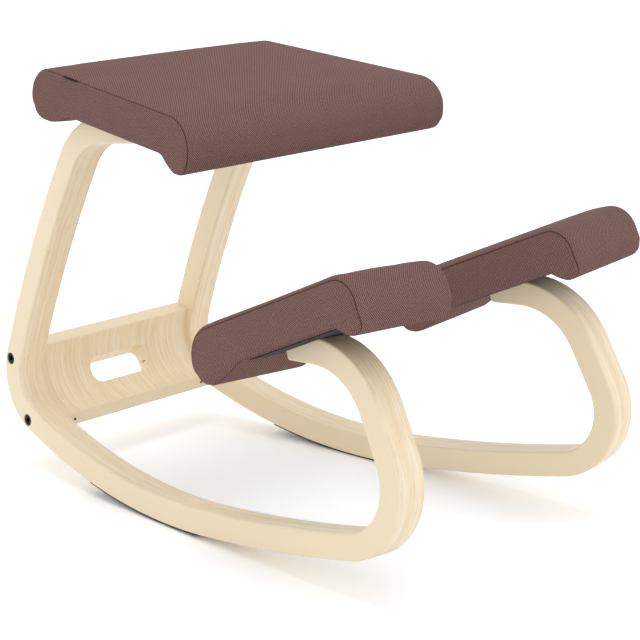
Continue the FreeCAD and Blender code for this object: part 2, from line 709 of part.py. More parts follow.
insert_bore = size("crossbolt_shank") / 2 + size("thread_gap")
insert = turned("insert", [
    (insert_bore, -size("insert_length")), (size("insert_outside") / 2, -size("insert_length")),
    (size("insert_outside") / 2, 0), (insert_bore, 0)])
pin = turned("pin", [
    (0, -size("pin_recess") - pin_length), (size("pin_diameter") / 2, -size("pin_recess") - pin_length),
    (size("pin_diameter") / 2, -size("pin_recess")), (0, -size("pin_recess"))])
nut_bore = size("pad_bolt_shank") / 2 + size("thread_gap")
tee_nut = turned("tee_nut", [
    (nut_bore, -size("tee_flange_thickness")), (size("tee_flange") / 2, -size("tee_flange_thickness")),
    (size("tee_flange") / 2, 0), (size("tee_barrel") / 2, 0),
    (size("tee_barrel") / 2, size("tee_length")), (nut_bore, size("tee_length"))])


# Upholstery. Each pad's section lies in its own frame, X forwards and Y up from the flat
# underside that rests on the wood, and Z is outwards on the chair's right side.

def pad_section(rear, front, height, noses, lips, levels, ramps, runs):
    """Section with rounded ends that hang as lips below a flat underside. Pairs: rear, front.

    A lower rounding's radius is the lip's length less its slope and its level part."""
    ramp_round = size("ramp_round")
    low_radii = [reach - ramp - run - level
                 for reach, ramp, run, level in zip((rear, front), ramps, runs, levels)]
    return [
        (-ramps[0], 0, ramp_round), (ramps[1], 0, ramp_round),
        (ramps[1] + runs[1], -lips[1], size("lip_round")), (front, -lips[1], low_radii[1]),
        (front, height, noses[1]), (-rear, height, noses[0]),
        (-rear, -lips[0], low_radii[0]), (-ramps[0] - runs[0], -lips[0], ramp_round),
    ]


def seam_outline(section, distance):
    """Outline of a side panel: it stops short of the ends and the top, and turns under below.

    Its lower corners are tighter than the pad's, so that it leaves the ends at a clear angle."""
    below = size("fabric_thickness")
    return [
        (x, y - distance - below, radius / 2) if outer_y <= 0 else (x, y, radius)
        for (x, y, radius), (_, outer_y, _) in zip(inset(section, distance), section)
    ]


def flat_frame(place):
    """Frame of a flat piece: sketch X forwards and sketch Y along the pad's Z."""
    return place.multiply(Placement(Vector(0, 0, 0), Rotation(Vector(1, 0, 0), 90)))


class Pad:
    """One upholstered pad: a board in foam, a wrapped cover, two side panels and a cloth."""

    def __init__(self, prefix, place, section, rear_sides, front_sides, board, bolt_places):
        self.prefix, self.place, self.section = prefix, place, section
        self.kind = prefix.split("_")[-1]
        self.rear = min(corner[0] for corner in section)
        self.front = max(corner[0] for corner in section)
        self.rear_sides, self.front_sides = rear_sides, front_sides
        self.board, self.bolt_places = board, bolt_places

    def side(self, reach, which, inwards):
        """The pad's Z at a reach from its middle, on one side, moved inwards."""
        share = (reach - self.rear) / (self.front - self.rear)
        low, high = self.rear_sides[which], self.front_sides[which]
        return low + share * (high - low) + (inwards if which == 0 else -inwards)

    def slab(self, name, low, high):
        """Upright slab between two sides, each given as (side, distance inwards)."""
        ends = (self.rear - size("member_width"), self.front + size("member_width"))
        corners = [(ends[0], self.side(ends[0], *low)), (ends[1], self.side(ends[1], *low)),
                   (ends[1], self.side(ends[1], *high)), (ends[0], self.side(ends[0], *high))]
        points = [Vector(x, z, 0) for x, z in corners]
        edges = [Part.LineSegment(a, b) for a, b in zip(points, points[1:] + points[:1])]
        return prism(f"{self.prefix}_{name}", edges, "cutter_reach", flat_frame(self.place),
                     midplane=True)

    def flat(self, name, rear, front, inwards, radius, thickness, lift):
        """Flat piece above the underside, with rounded corners."""
        corners = [(rear, self.side(rear, 0, inwards), radius),
                   (front, self.side(front, 0, inwards), radius),
                   (front, self.side(front, 1, inwards), radius),
                   (rear, self.side(rear, 1, inwards), radius)]
        return prism(f"{self.prefix}_{name}", rounded(corners), thickness,
                     flat_frame(self.place), -lift)

    def across(self, name, corners):
        """A prism across more than the pad's whole width."""
        return prism(f"{self.prefix}_{name}", rounded(corners), "cutter_reach * 2", self.place,
                     midplane=True)

    def on_rim(self, edge, distance):
        """Whether an edge lies in one of the pad's two sides, moved inwards."""
        start, end = edge.ParameterRange
        for which in (0, 1):
            points = [self.place.inverse().multVec(edge.valueAt(start + share * (end - start)))
                      for share in EDGE_SHARES]
            if all(abs(at.z - self.side(at.x, which, distance)) < NEAR for at in points):
                return True
        return False

    def soft_block(self, name, distance):
        """The pad's whole shape moved inwards, with its rims rounded."""
        section = self.across(name + "_section", inset(self.section, distance))
        sharp = common(f"{self.prefix}_{name}_sharp", section,
                       self.slab(name + "_slab", (0, distance), (1, distance)))
        doc.recompute()
        radius = size(self.kind + "_rim") - distance
        soft = doc.addObject("Part::Fillet", f"{self.prefix}_{name}")
        soft.Base = sharp
        soft.Edges = [
            (number, radius, radius)
            for number, edge in enumerate(sharp.Shape.Edges, start=1)
            if self.on_rim(edge, distance)
        ]
        return soft

    def holes(self, name, diameter, length, base):
        """Cutters round the pad's bolts."""
        return [cylinder(f"{self.prefix}_{name}_{number}", diameter, length, place, base)
                for number, place in enumerate(self.bolt_places)]

    def build(self, side_names, both_sides):
        """All of the pad's pieces, by name. A pad across the middle is drilled on both sides."""
        fabric, gap = size("fabric_thickness"), size("soft_gap")
        thick = size(self.kind + "_board_thickness")
        rear, front, inwards = self.board
        shell = cut(f"{self.prefix}_shell", self.soft_block("outer", 0),
                    [self.soft_block("cavity", fabric)])
        rim = size(self.kind + "_rim")
        inside_seams = self.across(
            "inside_seams", seam_outline(self.section, size(self.kind + "_seam")))
        cloth_rear = self.section[0][0] + size("cloth_margin")
        cloth_front = self.section[1][0] - size("cloth_margin")
        cloth_in = rim + size("cloth_margin")
        opening = self.flat("opening", cloth_rear - gap, cloth_front + gap, cloth_in - gap,
                            size("cloth_corner") + gap, "fabric_thickness * 3", -fabric)
        pieces, not_cover = {}, [opening]
        for which, name in enumerate(side_names):
            edge_slab = self.slab(
                name + "_slab", (which, -fabric), (which, rim + size("panel_fold")))
            not_cover.append(common(f"{self.prefix}_{name}_middle", inside_seams, edge_slab))
            pieces[name] = common(f"{self.prefix}_{name}", shell, not_cover[-1])
        pieces["cover"] = cut(f"{self.prefix}_cover", shell, not_cover)
        board_room = self.flat(
            "board_room", rear - gap, front + gap, inwards - gap, size("board_corner") + gap,
            f"{self.kind}_board_thickness + soft_gap", fabric)
        flange_rooms = self.holes(
            "flange_room", "tee_flange + 2 * soft_gap", "tee_flange_thickness + 2 * soft_gap",
            -fabric - thick - size("tee_flange_thickness") - 2 * gap)
        cloth = self.flat("cloth", cloth_rear, cloth_front, cloth_in, size("cloth_corner"),
                          "fabric_thickness", 0)
        board = self.flat("board_blank", rear, front, inwards, size("board_corner"),
                          f"{self.kind}_board_thickness", fabric)
        bolt_holes = self.holes("bolt_hole", "pad_bolt_shank + 2 * fastener_gap",
                                f"{self.kind}_board_thickness * 2", -thick)
        nut_holes = self.holes("nut_hole", "tee_barrel + 2 * thread_gap",
                               f"{self.kind}_board_thickness * 2", -fabric - thick - thick / 2)
        if both_sides:
            flange_rooms += [mirrored(item.Name + "_left", item) for item in flange_rooms]
            bolt_holes += [mirrored(item.Name + "_left", item) for item in bolt_holes]
            nut_holes += [mirrored(item.Name + "_left", item) for item in nut_holes]
        pieces["foam"] = cut(f"{self.prefix}_foam", self.soft_block("stuffing", fabric + gap),
                             [board_room] + flange_rooms)
        pieces["underside_cloth"] = cut(f"{self.prefix}_underside_cloth", cloth, bolt_holes)
        pieces["board"] = cut(f"{self.prefix}_board", board, nut_holes)
        return pieces


seat_section = pad_section(
    size("seat_rear_reach"), size("seat_front_reach"), size("seat_thickness"),
    (size("seat_rear_nose_radius"), size("seat_front_nose_radius")),
    (size("seat_rear_lip"), size("seat_front_lip")),
    (size("seat_rear_level"), size("seat_front_level")),
    (size("seat_rear_ramp"), size("seat_front_ramp")),
    (size("seat_rear_ramp_run"), size("seat_front_ramp_run")))
rear_half = size("half_track") - size("seat_rear_inset")
front_half = size("half_track") + size("seat_front_overhang")
seat_board_half = size("seat_board_length") / 2
seat = Pad(
    "seat", seat_place, seat_section, (-rear_half, rear_half), (-front_half, front_half),
    (-seat_board_half, seat_board_half, size("seat_board_margin")), seat_bolt_places)
seat_pieces = seat.build(("left_panel", "right_panel"), both_sides=True)

knee_section = pad_section(
    size("knee_rear_reach"), size("knee_front_reach"), size("knee_thickness"),
    (size("knee_rear_nose_radius"), size("knee_front_nose_radius")),
    (size("knee_lip"), size("knee_lip")),
    (size("knee_rear_level"), size("knee_front_level")),
    (size("knee_rear_ramp"), size("knee_front_ramp")),
    (size("knee_rear_ramp_run"), size("knee_front_ramp_run")))
knee_middle = -size("member_width") / 2 - size("knee_shift")
knee_sides = (knee_middle - size("knee_width") / 2, knee_middle + size("knee_width") / 2)
knee_margin = size("knee_board_margin")
knee = Pad(
    "right_knee", knee_place, knee_section, knee_sides, knee_sides,
    (-size("knee_rear_ramp") + knee_margin / 2, size("knee_front_ramp") - knee_margin / 2,
     knee_margin), knee_bolt_places)
right_knee = knee.build(("inner_panel", "outer_panel"), both_sides=False)
left_knee = {
    name: mirrored("left_knee_" + name, piece) for name, piece in right_knee.items()}

# Blank tab in the seam on the seat's right side, square to the rim where the seam runs
seat_rim = size("seat_rim")
seam_rise = seat_rim - size("seat_seam")
seam_turn = math.degrees(math.asin(seam_rise / seat_rim))
seam_spot = Vector(
    -size("tab_behind"), size("seat_thickness") - size("seat_seam"),
    seat.side(-size("tab_behind"), 1, seat_rim * (1 - math.cos(math.radians(seam_turn)))))
side_turn = math.degrees(math.atan2(
    front_half - rear_half, size("seat_rear_reach") + size("seat_front_reach")))
tab_place = seat_place.multiply(Placement(seam_spot, Rotation(Vector(0, 1, 0), -side_turn)))
tab_place = tab_place.multiply(Placement(Vector(0, 0, 0), Rotation(Vector(1, 0, 0), -seam_turn)))
tab = doc.addObject("Part::Box", "seat_tab")
bind(tab, Length="tab_length", Width="tab_thickness", Height="tab_reach")
tab.Placement = tab_place.multiply(Placement(
    Vector(-size("tab_length") / 2, -size("tab_thickness") / 2, size("thread_gap")), Rotation()))

doc.recompute()


# Groups of equal fasteners

def raised(places, distance):
    """Places moved along their own Z."""
    return [place.multiply(Placement(Vector(0, 0, distance), Rotation())) for place in places]


groups = [
    copies("crosspiece_bolts", crossbolt, crossbolt_places),
    copies("crosspiece_inserts", insert, insert_places),
    copies("crosspiece_pins", pin, pin_places["right"], pin_places["left"]),
]
for kind, places in (("seat", seat_bolt_places), ("knee", knee_bolt_places)):
    board_top = -size("fabric_thickness") - size(kind + "_board_thickness")
    groups.append(copies(kind + "_bolts", pad_bolts[kind], raised(places, size("pad_bolt_grip"))))
    groups.append(copies(kind + "_tee_nuts", tee_nut, raised(places, board_top)))
doc.recompute()

pieces = [right_frame, left_frame, crosspiece, right_strip, left_strip, tab, *groups]
pieces += [*seat_pieces.values(), *right_knee.values(), *left_knee.values()]

# Every object is sound, and every piece is a closed solid, before anything is written.
for item in doc.Objects:
    if "Invalid" in item.State or "Error" in item.State:
        raise RuntimeError(f"{item.Name} did not build: {item.State}")
for piece in pieces:
    piece.Label = piece.Name
    shape = piece.Shape
    if shape.isNull() or not shape.isValid() or not shape.Solids:
        raise RuntimeError(f"{piece.Label} is not a sound solid")

os.makedirs("parts", exist_ok=True)
for piece in pieces:
    piece.Shape.exportStep(os.path.join("parts", piece.Label + ".step"))
    print(f"{piece.Label}: {len(piece.Shape.Solids)} solids, {piece.Shape.Volume / 1000:.1f} cm3")
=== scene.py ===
# %% [markdown]
# # Rocking kneeling chair
# This scene dresses a finished CAD model. The wood, the fasteners and the runner strips keep
# their CAD shapes and get finishes. The CAD model's pads are plain solids, so their covers are
# made here, as stuffed fabric over foam. Lengths are in metres, +Z is up and the knee pads point
# to -Y.

from collections import namedtuple
import json
import math

import bpy
import numpy as np
from mathutils import Matrix, Vector


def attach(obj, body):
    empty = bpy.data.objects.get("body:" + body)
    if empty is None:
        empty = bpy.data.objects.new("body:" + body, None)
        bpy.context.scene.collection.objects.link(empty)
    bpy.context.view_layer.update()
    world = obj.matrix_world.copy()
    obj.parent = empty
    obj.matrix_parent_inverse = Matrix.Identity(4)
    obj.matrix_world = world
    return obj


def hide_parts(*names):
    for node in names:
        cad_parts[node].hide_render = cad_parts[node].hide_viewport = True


MM = 0.001
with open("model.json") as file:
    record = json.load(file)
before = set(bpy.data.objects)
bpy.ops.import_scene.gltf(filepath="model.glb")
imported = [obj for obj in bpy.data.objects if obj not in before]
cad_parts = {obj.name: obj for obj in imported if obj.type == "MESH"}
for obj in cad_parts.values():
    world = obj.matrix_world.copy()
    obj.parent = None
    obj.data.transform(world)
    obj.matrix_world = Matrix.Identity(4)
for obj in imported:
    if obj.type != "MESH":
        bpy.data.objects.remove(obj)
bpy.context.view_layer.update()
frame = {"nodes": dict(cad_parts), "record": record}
slot_of = {part["node"]: part["material_slot"] for part in frame["record"]["subparts"]}

# %% [markdown]
# ## Where the pads lie
# The seat falls a little to the front, and each knee pad rises to the front. Their shapes could be
# worked out in the chair's own axes, but each is far simpler in a frame of its own: X runs forwards
# along the pad's slope, Y away from the wood that it rests on, and Z outwards on the chair's right
# side. The side frames stand a little pigeon-toed and lean in at the top, so a knee pad's frame is
# turned by the same angles as the wood that holds it. The angles and places are the CAD model's.

# %% The pads' frames
FRAME_YAW = math.radians(3.57)
FRAME_LEAN = math.radians(2.18)
SEAT_TILT = math.radians(5.8)
KNEE_SLOPE = math.radians(24.5)
SEAT_MIDDLE = Vector((0, 90.505, 467.273)) * MM
KNEE_TIP = Vector((-196.391, -177.807, 261.164)) * MM


def turned(vector, axis, angle):
    """A vector turned about an axis by an angle in radians."""
    return Matrix.Rotation(angle, 3, axis) @ vector


class PadFrame:
    """A pad's own frame: its origin in the chair, and its X, Y and Z as unit rows."""

    def __init__(self, origin, axes):
        self.origin, self.axes = np.array(origin), np.array(axes)

    def to_chair(self, points, mirrored):
        """Origin + x X + y Y + z Z. Mirrored to the left side, X changes its sign."""
        placed = self.origin + points @ self.axes
        return placed * np.array([-1, 1, 1]) if mirrored else placed


level = Vector((0, 0, 1))
frame_forward = turned(Vector((0, -1, 0)), level, -FRAME_YAW)
frame_outward = turned(turned(Vector((-1, 0, 0)), level, -FRAME_YAW), frame_forward, -FRAME_LEAN)
frame_upward = turned(level, frame_forward, -FRAME_LEAN)
seat_frame = PadFrame(SEAT_MIDDLE, [
    (0, -math.cos(SEAT_TILT), -math.sin(SEAT_TILT)),
    (0, -math.sin(SEAT_TILT), math.cos(SEAT_TILT)),
    (-1, 0, 0)])
knee_frame = PadFrame(KNEE_TIP, [
    frame_forward * math.cos(KNEE_SLOPE) + frame_upward * math.sin(KNEE_SLOPE),
    frame_upward * math.cos(KNEE_SLOPE) - frame_forward * math.sin(KNEE_SLOPE),
    frame_outward])
print("knee pad's X axis", knee_frame.axes[0].round(4))

# %% [markdown]
# ## One way to add shader nodes
# A finish is a small network. Each node could be made and linked line by line, but the lines would
# hide what the finish is. So one function adds a node, sets its properties and fills its sockets
# with numbers or with the sockets of earlier nodes. Colours are written as they look on a screen,
# and one function turns them into the linear values that a renderer adds up.

# %% Colours and nodes

def colour(code):
    """Linear RGBA of an sRGB hex code: c / 12.92 below 0.04045, else ((c + 0.055) / 1.055) ^ 2.4."""
    shares = np.array([int(code[at:at + 2], 16) / 255 for at in (1, 3, 5)])
    linear = np.where(shares <= 0.04045, shares / 12.92, ((shares + 0.055) / 1.055) ** 2.4)
    return (*linear.tolist(), 1.0)


def add(tree, kind, inputs=None, **settings):
    """Add a node. Settings are its properties, and inputs maps a socket to a value or a socket."""
    node = tree.nodes.new("ShaderNode" + kind)
    for name, value in settings.items():
        setattr(node, name, value)
    for socket, value in (inputs or {}).items():
        if isinstance(value, bpy.types.NodeSocket):
            tree.links.new(value, node.inputs[socket])
        else:
            node.inputs[socket].default_value = value
    return node


def new_finish(name, **values):
    """A material with its tree and its main shader, whose sockets get plain values."""
    material = bpy.data.materials.new(name)
    material.use_nodes = True
    shader = material.node_tree.nodes["Principled BSDF"]
    for socket, value in values.items():
        shader.inputs[socket.replace("_", " ")].default_value = value
    return material, material.node_tree, shader


def ramp(tree, factor, stops):
    """A colour ramp through (place, hex code) stops."""
    node = add(tree, "ValToRGB", {"Fac": factor})
    points = node.color_ramp.elements
    while len(points) < len(stops):
        points.new(0.5)
    for point, (place, code) in zip(points, stops):
        point.position, point.color = place, colour(code)
    return node.outputs["Color"]


print("black in linear light", colour("#000000"), "middle grey", round(colour("#808080")[0], 3))

# %% [markdown]
# ## Birch, moulded and lacquered
# The side frames and the crosspiece are thin birch veneers, glued over a form and given a clear
# satin lacquer. The grain runs round every bend: on a wide face it is a set of streaks that change
# quickly across the veneer and hardly at all along it, and on a side face it is plain. A picture of
# wood would have to be bent round the loop by hand. But one direction, across the veneer, stays the
# same along the whole bend, so the pattern is noise in the object's own coordinates, pressed
# together along that direction only.

# %% Where the grain runs, and where it shows

def veneer_coordinates(tree, across, width, length):
    """Coordinates in units of width across the veneer and of length along it.

    The part of a point along the across direction is divided by width, the rest by length."""
    place = add(tree, "TexCoord").outputs["Object"]
    reach = add(tree, "VectorMath", {0: place, 1: across}, operation="DOT_PRODUCT")
    pull = add(tree, "Math", {0: reach.outputs["Value"], 1: 1 / width - 1 / length},
               operation="MULTIPLY")
    pressed = add(tree, "VectorMath", {0: across, "Scale": pull.outputs[0]}, operation="SCALE")
    even = add(tree, "VectorMath", {0: place, "Scale": 1 / length}, operation="SCALE")
    both = add(tree, "VectorMath", {0: pressed.outputs[0], 1: even.outputs[0]}, operation="ADD")
    return both.outputs[0]


def plain_share(tree, across, edges):
    """1 where no grain shows, else 0: faces that look along across, and edges beyond a plane.

    An edge is (angle in the YZ plane, distance): a point lies on it when its part along that
    direction is at least the distance."""
    normal = add(tree, "NewGeometry").outputs["Normal"]
    facing = add(tree, "VectorMath", {0: normal, 1: across}, operation="DOT_PRODUCT")
    size = add(tree, "Math", {0: facing.outputs["Value"]}, operation="ABSOLUTE")
    share = add(tree, "MapRange", {
        "Value": size.outputs[0], "From Min": 0.5, "From Max": 0.85}).outputs[0]
    place = add(tree, "TexCoord").outputs["Object"]
    for angle, distance in edges:
        way = (0.0, math.cos(angle), math.sin(angle))
        along = add(tree, "VectorMath", {0: place, 1: way}, operation="DOT_PRODUCT")
        beyond = add(tree, "Math", {0: along.outputs["Value"], 1: distance},
                     operation="GREATER_THAN")
        share = add(tree, "Math", {0: share, 1: beyond.outputs[0]}, operation="MAXIMUM").outputs[0]
    return share


# %% Birch

def birch(name, across, contrast, edges=()):
    """Lacquered birch veneer whose grain runs square to the across direction.

    Cream bands, times faint streaks, times darker flecks; a thin lacquer gives a soft sheen."""
    wood, tree, shader = new_finish(
        name, Roughness=0.42, Coat_Weight=0.12, Coat_Roughness=0.35, Specular_IOR_Level=0.4)
    bands = add(tree, "TexNoise", {  # broad bands, about 9 mm wide
        "Vector": veneer_coordinates(tree, across, 9 * MM, 320 * MM),
        "Scale": 1.0, "Detail": 3.0, "Roughness": 0.55})
    streaks = add(tree, "TexNoise", {  # drawn at 1.5 mm, coarser than the real pores, to show
        "Vector": veneer_coordinates(tree, across, 1.5 * MM, 70 * MM),
        "Scale": 1.0, "Detail": 2.0, "Roughness": 0.6})
    flecks = add(tree, "TexNoise", {  # short dark pores, drawn at 1.3 mm so that they show
        "Vector": veneer_coordinates(tree, across, 1.3 * MM, 22 * MM),
        "Scale": 1.0, "Detail": 1.0})
    ground = ramp(tree, bands.outputs["Fac"],
                  [(0.30, "#F5E1BD"), (0.47, "#F8E6C5"), (0.62, "#FBEDD2")])
    line = ramp(tree, streaks.outputs["Fac"], [(0.44, "#FFFFFF"), (0.70, "#E9D6B6")])
    fleck = ramp(tree, flecks.outputs["Fac"], [(0.62, "#FFFFFF"), (0.76, "#DDC29C")])
    plain = plain_share(tree, across, edges)
    shown = add(tree, "MapRange", {"Value": plain, "To Min": contrast, "To Max": 0.0}).outputs[0]
    even = add(tree, "Mix", {"Factor": plain, 6: ground, 7: colour("#F4E2C2")}, data_type="RGBA")
    lined = add(tree, "Mix", {"Factor": shown, 6: even.outputs[2], 7: line},
                data_type="RGBA", blend_type="MULTIPLY")
    flecked = add(tree, "Mix", {"Factor": shown, 6: lined.outputs[2], 7: fleck},
                  data_type="RGBA", blend_type="MULTIPLY")
    tree.links.new(flecked.outputs[2], shader.inputs["Base Color"])
    relief = add(tree, "Bump", {
        "Height": streaks.outputs["Fac"], "Strength": 0.25, "Distance": 0.15 * MM})
    tree.links.new(relief.outputs["Normal"], shader.inputs["Normal"])
    return wood


GRAIN_CONTRAST = 0.45
mirrored_outward = Vector((-frame_outward.x, frame_outward.y, frame_outward.z))
# lacquered birch: warm cream, with quiet streaks and a soft sheen
right_birch = birch("birch_veneer_right", frame_outward, GRAIN_CONTRAST)
left_birch = birch("birch_veneer_left", mirrored_outward, GRAIN_CONTRAST)
crosspiece_edges = ((math.radians(108.1), 43.8 * MM), (math.radians(-159.0), -294.5 * MM))
cross_birch = birch("birch_veneer_crosspiece", Vector((1, 0, 0)), GRAIN_CONTRAST, crosspiece_edges)
board_birch = birch("birch_board", Vector((0, 0, 1)), GRAIN_CONTRAST)
print("birch nodes", [len(wood.node_tree.nodes) for wood in (right_birch, cross_birch)])

# %% [markdown]
# ## Small hard finishes
# The bolts are blackened steel with a satin oil finish, the inserts and tee nuts are bright zinc,
# and the pins are dull steel painted dark, as painted shade for their recessed holes. The runner
# strips are grey-black rubber with a fine grain that hides scuffs. One even value would look like
# plastic from the screen, and a photograph of each surface isn't needed at this size. A little
# noise in the colour, the roughness and the relief breaks up the highlight, and that is what the
# eye takes for metal or rubber. The foam and the lining are matt and have a fine grain too, so the
# same function makes them.

# %% Metal, rubber, foam and lining

def satin(name, code, grain, **values):
    """A hard finish with a fine grain of the given size: noise n from 0 to 1.

    Colour times (1 - n / 4), roughness times (0.8 + 0.4 n), and n as relief."""
    made, tree, shader = new_finish(name, **values)
    place = add(tree, "TexCoord").outputs["Object"]
    noise = add(tree, "TexNoise", {"Vector": place, "Scale": 1 / grain, "Detail": 3.0})
    grains = noise.outputs["Fac"]
    rough = add(tree, "MapRange", {
        "Value": grains, "To Min": values["Roughness"] * 0.8, "To Max": values["Roughness"] * 1.2})
    shade = add(tree, "MapRange", {"Value": grains, "To Max": 0.25})
    tint = add(tree, "Mix", {"Factor": shade.outputs[0], 6: colour(code), 7: colour("#000000")},
               data_type="RGBA")
    tree.links.new(tint.outputs[2], shader.inputs["Base Color"])
    tree.links.new(rough.outputs[0], shader.inputs["Roughness"])
    relief = add(tree, "Bump", {"Height": grains, "Strength": 0.2, "Distance": grain / 10})
    tree.links.new(relief.outputs["Normal"], shader.inputs["Normal"])
    return made


# oiled black oxide: nearly black, with a soft highlight
black_steel = satin("blackened_steel", "#1C1C1E", 1 * MM, Metallic=0.9, Roughness=0.38)
# zinc plating: pale, cool and fairly shiny
zinc_steel = satin("zinc_plated_steel", "#BFC1C4", 2 * MM, Metallic=1.0, Roughness=0.35)
# pins: steel painted dark and warm, as painted shade for their recessed holes; it hardly shines
pins_painted_shade = satin("pins_painted_hole_shade", "#4A3B2E", 1 * MM, Metallic=0.7, Roughness=0.5)
# moulded rubber: matt grey-black
rubber = satin("runner_rubber", "#33312F", 1.5 * MM, Roughness=0.8)
# cut foam: pale yellow and quite matt, hidden by the covers
foam_skin = satin("cut_foam", "#D8CFA8", 3 * MM, Roughness=0.95)
# non-woven lining: soft black felt that swallows the light under a pad
lining = satin("black_nonwoven_lining", "#232020", 1.2 * MM, Roughness=0.95)
print("hard finishes and lining", [made.name for made in (black_steel, zinc_steel, rubber, lining)])

# %% [markdown]
# ## Upholstery cloth
# The cover is a woven wool-like fabric in a dusty mauve brown. Its threads cross in a staggered
# weave, so that light dots stand in diagonal rows on a darker ground. Modelling the threads would
# take millions of faces, and a pattern in the object's coordinates would smear on the sides. So the
# weave is drawn by the finish, and it follows the cloth: it reads the piece's own UV map, which
# here is in metres of cloth. The product of two sine waves gives the staggered dots, and it also
# lifts them as a bump. The three tones are even steps in linear light, so that far dots melt into
# the middle tone.

# %% Woven cloth
WEAVE = 2.9 * MM  # two threads; drawn about twice as coarse as the real one, so that it shows
FIBRE = 2.0 * MM  # tufts of wool, drawn as coarse, which break up the rows of dots
MOTTLE = 40 * MM  # broad uneven patches of dye


def woven(name, dark, mid, light):
    """Woven cloth: dots where sin(2 pi u / weave) times sin(2 pi v / weave) is high."""
    cloth, tree, shader = new_finish(name, Roughness=0.9, Specular_IOR_Level=0.1)
    cloth_place = add(tree, "UVMap", uv_map="cloth").outputs["UV"]
    sides = add(tree, "SeparateXYZ", {"Vector": cloth_place})
    waves = []
    for axis in ("X", "Y"):
        turn = add(tree, "Math", {0: sides.outputs[axis], 1: math.tau / WEAVE},
                   operation="MULTIPLY")
        waves.append(add(tree, "Math", {0: turn.outputs[0]}, operation="SINE").outputs[0])
    dots = add(tree, "Math", {0: waves[0], 1: waves[1]}, operation="MULTIPLY")
    height = add(tree, "MapRange", {"Value": dots.outputs[0], "From Min": -1.0, "From Max": 1.0})
    fibres = add(tree, "TexNoise", {
        "Vector": cloth_place, "Scale": 1 / FIBRE, "Detail": 1.0, "Roughness": 0.6})
    mottle = add(tree, "TexNoise", {"Vector": cloth_place, "Scale": 1 / MOTTLE, "Detail": 2.0})
    uneven = add(tree, "Mix", {"Factor": 0.4, 2: height.outputs[0], 3: fibres.outputs["Fac"]})
    woven_colour = ramp(tree, uneven.outputs[0], [(0.32, dark), (0.5, mid), (0.68, light)])
    worn = add(tree, "MapRange", {
        "Value": mottle.outputs["Fac"], "From Min": 0.3, "From Max": 0.7,
        "To Min": 0.97, "To Max": 1.03})
    final = add(tree, "VectorMath", {0: woven_colour, "Scale": worn.outputs[0]},
                operation="SCALE")
    tree.links.new(final.outputs[0], shader.inputs["Base Color"])
    relief = add(tree, "Bump", {
        "Height": uneven.outputs[0], "Strength": 0.5, "Distance": 0.35 * MM})
    tree.links.new(relief.outputs["Normal"], shader.inputs["Normal"])
    return cloth


upholstery = woven("woven_wool_mauve", "#4C3935", "#785B57", "#95736E")  # matt, with pale dots
tab_weave = woven("woven_tape_black", "#141212", "#1E1B1B", "#2C2828")  # matt black tape
print("cloth finishes", upholstery.name, tab_weave.name, "weave", WEAVE)

# %% [markdown]
# ## Finishes on the CAD pieces
# Every CAD piece names a material slot, and most slots have one finish. Each piece could be given
# its finish by name, but a table of slots is shorter. The two side frames and the crosspiece share
# a slot but not a grain direction, so only the side frames are set by name.

# %% Assign the finishes
finish_of_slot = {
    "birch": cross_birch, "board": board_birch, "upholstery": upholstery, "foam": foam_skin,
    "lining": lining, "tab_fabric": tab_weave, "runner_rubber": rubber,
    "black_steel": black_steel, "zinc_steel": zinc_steel, "dark_pin": pins_painted_shade}
finish_of_node = {"right_side_frame": right_birch, "left_side_frame": left_birch}
for name, node in frame["nodes"].items():
    node.data.materials.clear()
    node.data.materials.append(finish_of_node.get(name, finish_of_slot[slot_of[name]]))
print("nodes with finishes:", len(frame["nodes"]))

# %% [markdown]
# ## The shape of a pad
# A pad is a side view carried across the pad's width. The side view is a closed line: a flat
# underside, a lip that hangs down at each end, and large roundings at the top of both ends. It
# could be drawn as a curve by hand, but corners with radii say what the shape is. The line is
# worked out as straight runs joined by arcs, and then sampled at even steps, once over the top and
# once back along the bottom, so that the two halves have as many points.

# %% Side view of a pad
STEPS_ALONG = 84  # over the top, and as many back below
AROUND = 2 * STEPS_ALONG
ARC_STEPS = 40
FINE_STEPS = 8000
FLAT_END = 0.02 * MM  # what counts as the upright part of an end


def section_line(corners):
    """Closed line through (x, y, radius) corners: each arc touches its edges at radius / tan(half).

    An arc's centre lies on the corner's bisector, radius / sin(half) from the corner."""
    spots = np.array(corners, float)
    here, radius = spots[:, :2], spots[:, 2:]
    back, ahead = np.roll(here, 1, 0) - here, np.roll(here, -1, 0) - here
    back /= np.linalg.norm(back, axis=1, keepdims=True)
    ahead /= np.linalg.norm(ahead, axis=1, keepdims=True)
    half = np.arccos((back * ahead).sum(1, keepdims=True)) / 2
    bisector = (back + ahead) / np.linalg.norm(back + ahead, axis=1, keepdims=True)
    centre = here + bisector * radius / np.sin(half)
    first = here + back * radius / np.tan(half) - centre
    last = here + ahead * radius / np.tan(half) - centre
    start = np.arctan2(first[:, 1], first[:, 0])
    sweep = np.arctan2(last[:, 1], last[:, 0]) - start
    sweep = (sweep + np.pi) % (2 * np.pi) - np.pi
    angle = start[:, None] + sweep[:, None] * np.linspace(0, 1, ARC_STEPS)
    arcs = centre[:, None] + radius[:, None] * np.stack([np.cos(angle), np.sin(angle)], 2)
    return arcs.reshape(-1, 2)[::-1]


